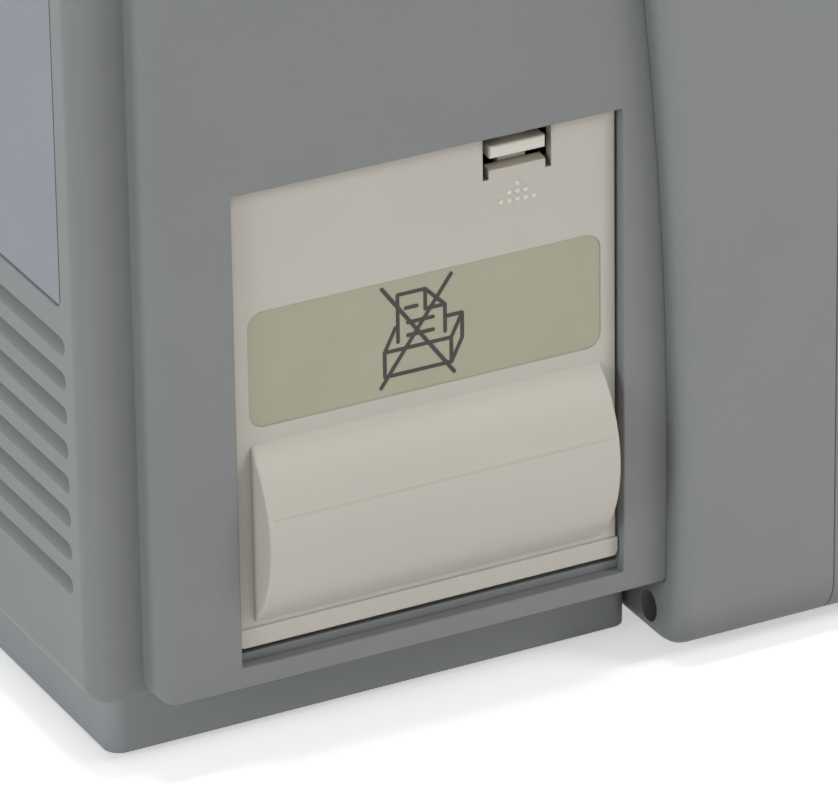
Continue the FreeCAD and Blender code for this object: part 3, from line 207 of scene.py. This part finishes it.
def add_world():
    """Dim even light on the object, and plain white where a ray looks past it."""
    world = bpy.data.worlds.new("studio")
    bpy.context.scene.world = world
    world.use_nodes = True
    tree = world.node_tree
    tree.nodes.clear()
    mix = tree.nodes.new("ShaderNodeMixShader")
    tree.links.new(seen_directly(tree), mix.inputs["Fac"])
    tree.links.new(background(tree, WORLD_COLOR, WORLD_LIGHT), mix.inputs[1])
    tree.links.new(background(tree, WHITE, 1.0), mix.inputs[2])
    output = tree.nodes.new("ShaderNodeOutputWorld")
    tree.links.new(mix.outputs[0], output.inputs["Surface"])


def floor_glow(tree):
    """Light that only direct looks see, stronger further out, so that the floor goes over into white."""
    distance = tree.nodes.new("ShaderNodeVectorMath")
    distance.operation = "LENGTH"
    tree.links.new(tree.nodes.new("ShaderNodeTexCoord").outputs["Object"], distance.inputs[0])
    fade = tree.nodes.new("ShaderNodeMapRange")
    tree.links.new(distance.outputs["Value"], fade.inputs["Value"])
    fade.inputs["From Min"].default_value = FADE_START
    fade.inputs["From Max"].default_value = FADE_END
    fade.inputs["To Min"].default_value = GLOW_NEAR
    fade.inputs["To Max"].default_value = GLOW_FAR
    strength = calculate(tree, "ShaderNodeMath", "MULTIPLY", seen_directly(tree), fade.outputs["Result"])
    glow = tree.nodes.new("ShaderNodeEmission")
    glow.inputs["Color"].default_value = WHITE
    tree.links.new(strength, glow.inputs["Strength"])
    return glow.outputs[0]


def floor_white():
    """Matte white that shows the object's shadow, with a glow added."""
    material = bpy.data.materials.new("floor_white")
    material.use_nodes = True
    tree = material.node_tree
    tree.nodes.clear()
    matte = tree.nodes.new("ShaderNodeBsdfDiffuse")
    matte.inputs["Color"].default_value = srgb(FLOOR_GREY, FLOOR_GREY, FLOOR_GREY)
    both = tree.nodes.new("ShaderNodeAddShader")
    tree.links.new(matte.outputs[0], both.inputs[0])
    tree.links.new(floor_glow(tree), both.inputs[1])
    output = tree.nodes.new("ShaderNodeOutputMaterial")
    tree.links.new(both.outputs[0], output.inputs["Surface"])
    return material


def add_floor():
    mesh = bpy.data.meshes.new("floor")
    half = FLOOR_HALF_WIDTH
    corners = [(-half, -half, 0), (half, -half, 0), (half, half, 0), (-half, half, 0)]
    mesh.from_pydata(corners, [], [(0, 1, 2, 3)])
    mesh.materials.append(floor_white())
    floor = bpy.data.objects.new("floor", mesh)
    bpy.context.scene.collection.objects.link(floor)


def add_lamp(name, place, watts, color=(1.0, 1.0, 1.0)):
    data = bpy.data.lights.new(name, "AREA")
    data.shape = "SQUARE"
    data.size = LAMP_SIZE
    data.energy = watts
    data.color = color
    lamp = bpy.data.objects.new(name, data)
    lamp.location = place
    lamp.rotation_mode = "QUATERNION"
    lamp.rotation_quaternion = (LAMP_AIM - Vector(place)).to_track_quat("-Z", "Y")
    bpy.context.scene.collection.objects.link(lamp)


def add_lamps():
    add_lamp("left_lamp", place=(-1.3, -1.35, 1.34), watts=14, color=(1.0, 0.98, 0.96))
    add_lamp("rear_lamp", place=(-0.8, 2.03, 0.72), watts=15, color=(0.89, 0.94, 1.0))
    add_lamp("top_lamp", place=(-0.1, 0.0, 2.2), watts=23, color=(1.0, 0.98, 0.95))
    add_lamp("front_lamp", place=(0.6, -2.0, 1.1), watts=12.5)
    add_lamp("right_lamp", place=(2.0, 0.3, 1.2), watts=15)


# Materials

class Shader:
    """A material under construction: its node tree, its main surface and its paint."""

    def __init__(self, name):
        self.material = bpy.data.materials.new(name)
        self.material.use_nodes = True
        self.tree = self.material.node_tree
        self.surface = self.tree.nodes["Principled BSDF"]

    def set(self, **values):
        """Plain values on the surface's own sockets."""
        for socket, value in values.items():
            self.surface.inputs[socket.replace("_", " ")].default_value = value

    def coordinates(self, kind):
        return self.tree.nodes.new("ShaderNodeTexCoord").outputs[kind]

    def math(self, operation, first, second):
        return calculate(self.tree, "ShaderNodeMath", operation, first, second)

    def vector_math(self, operation, first, second=(0.0, 0.0, 0.0)):
        return calculate(self.tree, "ShaderNodeVectorMath", operation, first, second)

    def noise(self, size, detail):
        """Cloudy noise whose blotches are about this many metres across."""
        node = self.tree.nodes.new("ShaderNodeTexNoise")
        node.inputs["Scale"].default_value = 1.0 / size
        node.inputs["Detail"].default_value = detail
        self.tree.links.new(self.coordinates("Object"), node.inputs["Vector"])
        return node.outputs["Fac"]

    def ramp(self, factor, first_color, last_color, start=0.0, end=1.0):
        """From the first colour to the last as the factor goes from start to end."""
        node = self.tree.nodes.new("ShaderNodeValToRGB")
        self.tree.links.new(factor, node.inputs["Fac"])
        first, last = node.color_ramp.elements
        first.position, last.position = start, end
        first.color, last.color = first_color, last_color
        return node.outputs["Color"]

    def openness(self, reach):
        """One on an open face, and less in a corner or gap where something is nearer than this reach."""
        node = self.tree.nodes.new("ShaderNodeAmbientOcclusion")
        node.samples = CORNER_SAMPLES
        node.inputs["Distance"].default_value = reach
        return node.outputs["AO"]

    def outside(self, node_name, low, high):
        """One outside the box between these corners, as it lies in the node at rest, and zero inside."""
        middle = []
        half = []
        for a, b, start, end in zip(low, high, *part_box(node_name)):
            middle.append(((a + b) / 2 - start) / (end - start))
            half.append((b - a) / 2 / (end - start))
        offset = self.vector_math("SUBTRACT", self.coordinates("Generated"), middle)
        beyond = self.tree.nodes.new("ShaderNodeSeparateXYZ")
        past_box = self.vector_math("SUBTRACT", self.vector_math("ABSOLUTE", offset), half)
        self.tree.links.new(past_box, beyond.inputs[0])
        farthest = self.math("MAXIMUM", beyond.outputs["X"], beyond.outputs["Y"])
        farthest = self.math("MAXIMUM", farthest, beyond.outputs["Z"])
        return self.math("GREATER_THAN", farthest, 0.0)

    def paint(self, color):
        """Give the surface this colour, and keep it for what comes over it."""
        self.color = color
        self.tree.links.new(color, self.surface.inputs["Base Color"])

    def shade(self, factor, color, dark, light, start=0.3, end=0.7):
        """Paint from a darker to a lighter shade of a colour as the factor goes from start to end."""
        self.paint(self.ramp(factor, scaled(color, dark), scaled(color, light), start, end))

    def paint_corner_shade(self, shade_color, reach, keep_out=None):
        """Painted shade over the paint, which darkens it most in deep corners and not where keep_out is one.
        """
        unshaded = self.openness(reach)
        if keep_out is not None:
            unshaded = self.math("MAXIMUM", unshaded, keep_out)
        film = self.ramp(unshaded, shade_color, WHITE)
        self.paint(self.vector_math("MULTIPLY", self.color, film))

    def roughen(self, factor, smoothest, roughest):
        node = self.tree.nodes.new("ShaderNodeMapRange")
        self.tree.links.new(factor, node.inputs["Value"])
        node.inputs["To Min"].default_value = smoothest
        node.inputs["To Max"].default_value = roughest
        self.tree.links.new(node.outputs["Result"], self.surface.inputs["Roughness"])

    def bump(self, height, depth, edge_radius):
        """Surface relief of this depth in metres, over edges softened by the given radius, if any."""
        node = self.tree.nodes.new("ShaderNodeBump")
        node.inputs["Strength"].default_value = 1.0
        node.inputs["Distance"].default_value = depth
        self.tree.links.new(height, node.inputs["Height"])
        self.tree.links.new(node.outputs["Normal"], self.surface.inputs["Normal"])
        if edge_radius > 0:
            bevel = self.tree.nodes.new("ShaderNodeBevel")
            bevel.samples = EDGE_SAMPLES
            bevel.inputs["Radius"].default_value = edge_radius
            self.tree.links.new(bevel.outputs["Normal"], node.inputs["Normal"])


def plastic_shader(name, color, roughness, grain, grain_depth, edge, mottle):
    """Moulded plastic with its grain, faintly cloudy colour and uneven gloss."""
    shader = Shader(name)
    shader.shade(shader.noise(size=26 * MM, detail=4.0), color, dark=1 - mottle, light=1 + mottle)
    gloss = shader.noise(size=9 * MM, detail=3.0)
    shader.roughen(gloss, smoothest=roughness - 0.06, roughest=roughness + 0.06)
    shader.bump(shader.noise(size=grain, detail=2.0), grain_depth, edge)
    shader.set(Specular_IOR_Level=0.35)
    return shader


def grained_shader(name, color, roughness=0.5):
    """The plastic of the case: a visible spark-eroded grain."""
    return plastic_shader(name, color, roughness, grain=0.45 * MM, grain_depth=0.02 * MM, edge=0.35 * MM,
                          mottle=0.018)


def fine_shader(name, color, edge=0.3 * MM):
    """The smoother plastic of the door: a shallower grain, more gloss and a more even colour."""
    return plastic_shader(name, color, roughness=0.36, grain=0.7 * MM, grain_depth=0.004 * MM, edge=edge,
                          mottle=0.012)


def moulded_plastic(name, color, roughness=0.5):
    return grained_shader(name, color, roughness).material


def front_plastic(name, color):
    """The front housing's plastic, with painted shade in the valley where it meets the rear housing."""
    shader = grained_shader(name, color)
    # Painted shade: darkening in the valley between the two housings
    shader.paint_corner_shade(VALLEY_SHADE, VALLEY_SHADE_REACH)
    return shader.material


def door_plastic(name, color):
    """The door's plastic, with painted shade in the notch that fingers reach into at the latch."""
    shader = fine_shader(name, color)
    low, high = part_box("recorder_door")
    middle_y = middle_of("release_latch")[1]
    # The box ends inside the door at its sides and below, and reaches past the door elsewhere
    notch_low = (low[0] - NOTCH_DEPTH, middle_y - NOTCH_HALF_WIDTH, high[2] - NOTCH_DEPTH)
    notch_high = (high[0] + NOTCH_DEPTH, middle_y + NOTCH_HALF_WIDTH, high[2] + NOTCH_DEPTH)
    beside = shader.outside("recorder_door", notch_low, notch_high)
    # Painted shade in the notch round the latch, and none on the rest of the door
    shader.paint_corner_shade(NOTCH_SHADE, NOTCH_SHADE_REACH, beside)
    return shader.material


def latch_plastic(name, color):
    shader = fine_shader(name, color)
    # Painted shade in the latch's corners and where other parts lie close to it
    shader.paint_corner_shade(LATCH_SHADE, NOTCH_SHADE_REACH)
    return shader.material


def relief_plastic(name, color):
    """The door's plastic for low relief, which is too small for softened edges."""
    return fine_shader(name, color, edge=0).material


def satin_film(name, color, roughness=0.42, edge=0.1 * MM):
    """Printed label film: nearly even colour with a faint orange-peel surface."""
    shader = Shader(name)
    peel = shader.noise(size=1.6 * MM, detail=2.0)
    shader.shade(shader.noise(size=14 * MM, detail=3.0), color, dark=0.975, light=1.025)
    shader.roughen(peel, smoothest=roughness - 0.04, roughest=roughness + 0.04)
    shader.bump(peel, depth=0.008 * MM, edge_radius=edge)
    return shader.material


def printing_ink(name, color):
    """Flat print, whose thin edges stay sharp."""
    return satin_film(name, color, roughness=0.55, edge=0)


def plated_metal(name, color, roughness):
    """Plated or brushed metal with fine streaks."""
    shader = Shader(name)
    streak = shader.noise(size=0.6 * MM, detail=4.0)
    shader.shade(streak, color, dark=0.86, light=1.08, start=0.25, end=0.75)
    shader.roughen(streak, smoothest=roughness - 0.1, roughest=roughness + 0.12)
    shader.bump(streak, depth=0.006 * MM, edge_radius=0.15 * MM)
    shader.set(Metallic=1.0)
    return shader.material


def rubber(name, color):
    """Matte rubber with a fine pebbled skin and dusty patches."""
    shader = Shader(name)
    dust = shader.noise(size=7 * MM, detail=4.0)
    shader.shade(dust, color, dark=1.0, light=1.6, start=0.35, end=0.75)
    shader.roughen(dust, smoothest=0.75, roughest=0.92)
    shader.bump(shader.noise(size=0.5 * MM, detail=2.0), depth=0.03 * MM, edge_radius=0.4 * MM)
    return shader.material


def circuit_board(name, color):
    """Green solder mask with paler copper areas showing through."""
    shader = Shader(name)
    traces = shader.noise(size=4 * MM, detail=6.0)
    shader.shade(traces, color, dark=1.0, light=1.5, start=0.45, end=0.55)
    shader.roughen(traces, smoothest=0.3, roughest=0.45)
    shader.bump(traces, depth=0.03 * MM, edge_radius=0.1 * MM)
    return shader.material


def screen_glass(name, picture_color, border_color):
    """Cover glass over a screen that is off: a black printed border round the dark grey picture area."""
    shader = Shader(name)
    low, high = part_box("display_window")
    picture_low = (low[0] + SCREEN_BORDER, low[1] - SCREEN_BORDER, low[2] + SCREEN_BORDER)
    picture_high = (high[0] - SCREEN_BORDER, high[1] + SCREEN_BORDER, high[2] - SCREEN_BORDER)
    border = shader.outside("display_window", picture_low, picture_high)
    shader.paint(shader.ramp(border, picture_color, border_color))
    shader.roughen(shader.noise(size=40 * MM, detail=5.0), smoothest=0.10, roughest=0.18)
    shader.bump(shader.noise(size=60 * MM, detail=1.0), depth=0.01 * MM, edge_radius=0.2 * MM)
    shader.set(Specular_IOR_Level=0.3)
    return shader.material


def slot_materials():
    return {
        "case_plastic": moulded_plastic("case_plastic", srgb(127, 129, 128)),
        "front_plastic": front_plastic("front_plastic", srgb(132, 134, 133)),
        "plinth_plastic": moulded_plastic("plinth_plastic", srgb(141, 143, 143)),
        "door_plastic": door_plastic("door_plastic", srgb(190, 185, 175)),
        "latch_plastic": latch_plastic("latch_plastic", srgb(214, 211, 200)),
        "door_label_film": satin_film("door_label_film", srgb(165, 161, 140)),
        "rear_label_film": satin_film("rear_label_film", srgb(136, 139, 145), roughness=0.6),
        "dark_plastic": moulded_plastic("dark_plastic", srgb(44, 45, 48)),
        "key_plastic": moulded_plastic("key_plastic", srgb(206, 206, 202), roughness=0.55),
        "panel_plastic": moulded_plastic("panel_plastic", srgb(92, 96, 101)),
        "white_plastic": moulded_plastic("white_plastic", srgb(212, 212, 207), roughness=0.4),
        "foot_rubber": rubber("foot_rubber", srgb(34, 34, 35)),
        "screen_glass": screen_glass("screen_glass", srgb(31, 33, 36), srgb(9, 9, 10)),
        "screen_panel": satin_film("screen_panel", srgb(20, 21, 24)),
        "light_lens": satin_film("light_lens", srgb(150, 178, 142), roughness=0.25),
        "sheet_steel": plated_metal("sheet_steel", srgb(176, 178, 180), roughness=0.38),
        "bright_steel": plated_metal("bright_steel", srgb(188, 188, 188), roughness=0.26),
        "contact_brass": plated_metal("contact_brass", srgb(196, 166, 108), roughness=0.28),
        "board_green": circuit_board("board_green", srgb(34, 84, 56)),
        "battery_wrap": satin_film("battery_wrap", srgb(44, 56, 84)),
    }


def dress_nodes(materials):
    for subpart in frame["record"]["subparts"]:
        node = frame["nodes"][subpart["node"]]
        node.data.materials.clear()
        node.data.materials.append(materials[subpart["material_slot"]])


# Pieces that are only on the surface

def finish_mesh(work, name, smooth):
    mesh = bpy.data.meshes.new(name)
    bmesh.ops.recalc_face_normals(work, faces=work.faces)
    work.to_mesh(mesh)
    work.free()
    for face in mesh.polygons:
        face.use_smooth = smooth
    return mesh


def add_piece(name, work, material, body, smooth=False):
    mesh = finish_mesh(work, name, smooth)
    mesh.materials.append(material)
    piece = bpy.data.objects.new(name, mesh)
    bpy.context.scene.collection.objects.link(piece)
    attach(piece, body)


def join_outlines(work, first, second):
    """A closed skin over two outlines with the same number of corners, and between them."""
    work.faces.new(first)
    work.faces.new(list(reversed(second)))
    for step in range(len(first)):
        after = (step + 1) % len(first)
        work.faces.new((first[step], second[step], second[after], first[after]))


def face_point(node_name, start, direction):
    """Where a straight line first meets the named node, and the way that the face looks there."""
    node = frame["nodes"][node_name]
    to_local = node.matrix_world.inverted()
    start = start - direction * CLEAR_OF_PART
    _, place, normal, _ = node.ray_cast(to_local @ start, to_local.to_3x3() @ direction)
    return node.matrix_world @ place, (node.matrix_world.to_3x3() @ normal).normalized()


def arc(centre, radius, first, last):
    """Points along an arc; the angles are in degrees, anticlockwise from the right."""
    points = []
    for step in range(ARC_STEPS + 1):
        angle = math.radians(first + (last - first) * step / ARC_STEPS)
        points.append((centre[0] + radius * math.cos(angle), centre[1] + radius * math.sin(angle)))
    return points


def stroke(work, start, end, half_width, layer, on_face):
    """One straight printed line with round ends, raised off its face; on_face gives each point its place."""
    along = Vector(end) - Vector(start)
    heading = math.atan2(along.y, along.x)
    outline = []
    for centre, first in ((end, heading - math.pi / 2), (start, heading + math.pi / 2)):
        for step in range(LINE_END_STEPS + 1):
            angle = first + math.pi * step / LINE_END_STEPS
            reach = half_width * Vector((math.cos(angle), math.sin(angle)))
            outline.append((centre[0] + reach.x, centre[1] + reach.y))
    raised = INK_THICKNESS + layer * INK_LAYER
    low = [work.verts.new(on_face(a, b, 0)) for a, b in outline]
    high = [work.verts.new(on_face(a, b, raised)) for a, b in outline]
    join_outlines(work, low, high)


def printed_lines(paths, line_width, on_face):
    """Printed strokes, each a hair higher than the one before, so that crossing lines share no face."""
    work = bmesh.new()
    layer = 0
    for path in paths:
        for start, end in zip(path, path[1:]):
            stroke(work, start, end, line_width / 2, layer, on_face)
            layer += 1
    return work


def in_metres(paths):
    return [[(right * MM, up * MM) for right, up in path] for path in paths]


def dome(work, centre, radius, rise):
    """A low round bump on a face that looks along -X."""
    loops = []
    for ring in range(DOME_RINGS):
        angle = math.pi / 2 * ring / DOME_RINGS
        loop = []
        for step in range(DOME_STEPS):
            turn = 2 * math.pi * step / DOME_STEPS
            loop.append(work.verts.new((centre[0] - rise * math.sin(angle),
                                        centre[1] + radius * math.cos(angle) * math.cos(turn),
                                        centre[2] + radius * math.cos(angle) * math.sin(turn))))
        loops.append(loop)
    top = work.verts.new((centre[0] - rise, centre[1], centre[2]))
    for step in range(DOME_STEPS):
        after = (step + 1) % DOME_STEPS
        for low, high in zip(loops, loops[1:]):
            work.faces.new((low[step], high[step], high[after], low[after]))
        work.faces.new((loops[-1][step], top, loops[-1][after]))
    work.faces.new(loops[0])


def add_dots(material):
    """The raised dots under the latch: an arrow head that points up at the finger tab."""
    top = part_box("recorder_door")[1][2] - DOTS_BELOW_TOP
    middle_y = middle_of("release_latch")[1]
    face_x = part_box("door_label")[0][0] - DOOR_FACE_PAST_LABEL
    work = bmesh.new()
    for row in range(DOT_ROWS):
        for column in range(-row, row + 1):
            centre = (face_x, middle_y + column * DOT_PITCH, top - row * DOT_ROW_PITCH)
            dome(work, centre, DOT_RADIUS, DOT_RISE)
    add_piece("latch_dots", work, material, "door", smooth=True)


def add_moulding_line(material):
    """The faint ridge that the mould leaves across the round front of the door."""
    low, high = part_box("recorder_door")
    start = Vector((low[0], middle_of("recorder_door")[1], low[2] + LINE_ABOVE_DOOR_BOTTOM))
    middle, out = face_point("recorder_door", start, Vector((1, 0, 0)))
    upward = Vector((0, 1, 0)).cross(out).normalized()
    profile = [middle - upward * LINE_WIDTH / 2, middle + out * LINE_RISE, middle + upward * LINE_WIDTH / 2]
    work = bmesh.new()
    ends = []
    for y in (low[1] + LINE_END_INSET, high[1] - LINE_END_INSET):
        ends.append([work.verts.new((corner.x, y, corner.z)) for corner in profile])
    join_outlines(work, *ends)
    add_piece("moulding_line", work, material, "door")


def sign_strokes():
    """A crossed-out printer in millimetres from the sign's middle: right and up as it is read."""
    sheet_left, sheet_right, sheet_top, sheet_bottom, fold = -3.8, 5.6, 7.8, -1.4, 3.9
    tray_left, tray_right, tray_top, tray_bottom = -6.5, 6.8, -2.9, -7.7
    back_right, back_up = 2.2, 4.4
    sheet = [(sheet_left, sheet_bottom), (sheet_left, sheet_top), (sheet_right - fold, sheet_top),
             (sheet_right, sheet_top - fold), (sheet_right, sheet_bottom)]
    corner = [(sheet_right - fold, sheet_top), (sheet_right - fold, sheet_top - fold),
              (sheet_right, sheet_top - fold)]
    front = [(tray_left, tray_top), (tray_right, tray_top), (tray_right, tray_bottom),
             (tray_left, tray_bottom), (tray_left, tray_top)]
    left_side = [(tray_left, tray_top), (tray_left + back_right, tray_top + back_up)]
    right_side = [(tray_right, tray_top), (tray_right + back_right, tray_top + back_up),
                  (tray_right + back_right, tray_bottom + back_up), (tray_right, tray_bottom)]
    back_edge = [(sheet_right, tray_top + back_up), (tray_right + back_right, tray_top + back_up)]
    lines = [[(-2.2, 4.9), (0.0, 4.9)], [(-1.8, 2.0), (3.2, 2.0)], [(-1.8, -0.5), (3.2, -0.5)]]
    cross = [[(-6.9, 9.6), (7.3, -9.7)], [(6.9, 9.6), (-7.3, -9.7)]]
    return [sheet, corner, front, left_side, right_side, back_edge, *lines, *cross]


def add_sign(material):
    """The printed sign on the door's label: no recorder is fitted here."""
    door_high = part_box("recorder_door")[1]
    face_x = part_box("door_label")[0][0]
    middle_y = door_high[1] - SIGN_FROM_REAR
    middle_z = door_high[2] - SIGN_BELOW_TOP

    def on_label(right, up, out):
        return (face_x - out, middle_y - right, middle_z + up)

    work = printed_lines(in_metres(sign_strokes()), SIGN_LINE, on_label)
    add_piece("door_sign", work, material, "door")


def key_marks():
    """Each key's node, its body and its mark, in millimetres right and up from the key's middle."""
    bell = [(-3.2, -2.2), (-2.0, -0.8), *arc((0, 0.9), 2.0, 180, 0), (2.0, -0.8), (3.2, -2.2), (-3.2, -2.2)]
    alarm_off = [bell, [(-0.7, -3.3), (0.7, -3.3)], [(-3.8, -3.6), (3.8, 3.6)]]
    freeze = [[(side, -2.8), (side, 2.8)] for side in (-1.3, 1.3)]
    axes = [(-3.6, 3.0), (-3.6, -3.0), (3.8, -3.0)]
    trend = [axes, [(-2.6, -1.4), (-0.9, 0.8), (0.6, -0.4), (3.2, 2.4)]]
    cuff_start = [arc((0, 0), 3.2, 0, 360), [(-1.0, -1.6), (1.8, 0), (-1.0, 1.6), (-1.0, -1.6)]]
    menu = [[(-3.0, up), (3.0, up)] for up in (2.2, 0, -2.2)]
    standby = [arc((0, 0), 3.2, 125, 415), [(0, 1.1), (0, 4.0)]]
    marks = [("power_key", "power_key", standby)]
    for number, mark in enumerate([alarm_off, freeze, trend, cuff_start, menu], 1):
        marks.append((f"function_key_{number}", f"key_{number}", mark))
    return marks


def key_front(node_name):
    """A function that puts a mark's points on the front of the named key."""
    front_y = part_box(node_name)[0][1]
    middle = middle_of(node_name)

    def on_key(right, up, out):
        return (middle[0] + right, front_y - out, middle[2] + up)

    return on_key


def add_key_marks(material):
    for node_name, body, mark in key_marks():
        work = printed_lines(in_metres(mark), MARK_LINE, key_front(node_name))
        add_piece(node_name + "_mark", work, material, body)


def connector_marks():
    """Each patient connector's node and its mark, in millimetres right and up from the mark's middle."""
    heart = [(0, -3.4), *arc((-1.7, 1.0), 1.7, 215, 0), *arc((1.7, 1.0), 1.7, 180, -35), (0, -3.4)]
    drop = [(0, 3.6), *arc((0, -1.2), 2.2, 150, 390), (0, 3.6)]
    thermometer = [*arc((0, 3.0), 0.7, 0, 180), *arc((0, -2.4), 1.4, 120, 420), (0.7, 3.0)]
    cuff = [arc((0, 0.8), 2.8, 0, 360), arc((0, 0.8), 1.5, 0, 360), [(0, -2.0), (0, -3.8)]]
    return [("ecg_socket", [heart]), ("spo2_socket", [drop]), ("temperature_sockets", [thermometer]),
            ("nibp_port", cuff)]


def panel_floor(node_name):
    """A function that puts a mark's points on the floor of the recessed panel, beside the named connector."""
    panel_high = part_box("connector_panel")[1]
    mark_y = panel_high[1] - MARK_FROM_PANEL_EDGE
    mark_z = middle_of(node_name)[2]
    start = Vector((panel_high[0], mark_y, mark_z))
    floor_place, _ = face_point("connector_panel", start, Vector((-1, 0, 0)))

    def on_panel(right, up, out):
        return (floor_place.x + out, mark_y + right, mark_z + up)

    return on_panel


def add_connector_marks(material):
    for node_name, mark in connector_marks():
        work = printed_lines(in_metres(mark), MARK_LINE, panel_floor(node_name))
        add_piece(node_name + "_mark", work, material, "case")


def add_label_border(material):
    """The thin printed frame of the bare rear label."""
    low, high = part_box("rear_label")
    inset = BORDER_INSET + BORDER_LINE / 2
    left, right, bottom, top = low[0] + inset, high[0] - inset, low[2] + inset, high[2] - inset
    corners = [(left, bottom), (right, bottom), (right, top), (left, top), (left, bottom)]

    def on_label(x, z, out):
        return (x, high[1] + out, z)

    add_piece("rear_label_border", printed_lines([corners], BORDER_LINE, on_label), material, "case")


def add_network_contacts(material):
    """The row of spring contacts that slope down from the network jack's mouth to its back."""
    low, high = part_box("network_port")
    middle_x, _, middle_z = middle_of("network_port")
    front = (high[1] - CONTACT_FROM_MOUTH, middle_z + CONTACT_FRONT_ABOVE_MIDDLE)
    back = (low[1] + CONTACT_FROM_BACK, middle_z - CONTACT_BACK_BELOW_MIDDLE)
    work = bmesh.new()
    for number in range(CONTACT_COUNT):
        x = middle_x + (number - (CONTACT_COUNT - 1) / 2) * CONTACT_PITCH
        left, right = x - CONTACT_WIDTH / 2, x + CONTACT_WIDTH / 2
        ends = []
        for y, top in (front, back):
            bottom = top - CONTACT_DEPTH
            corners = [(left, y, top), (left, y, bottom), (right, y, bottom), (right, y, top)]
            ends.append([work.verts.new(corner) for corner in corners])
        join_outlines(work, *ends)
    add_piece("network_contacts", work, material, "case")


bpy.context.scene.view_settings.view_transform = "Standard"
add_camera()
add_world()
add_floor()
add_lamps()
materials = slot_materials()
dress_nodes(materials)
ink = printing_ink("printing_ink", srgb(45, 44, 41))
# The dots are paler than the door: a painted highlight for the light that catches them
add_dots(relief_plastic("latch_dots", srgb(217, 214, 202)))
# The ridge is darker than the door: painted shade along it
add_moulding_line(relief_plastic("moulding_line", srgb(181, 177, 166)))
add_sign(ink)
add_key_marks(ink)
add_connector_marks(printing_ink("pale_ink", srgb(196, 198, 200)))
add_label_border(ink)
add_network_contacts(materials["contact_brass"])
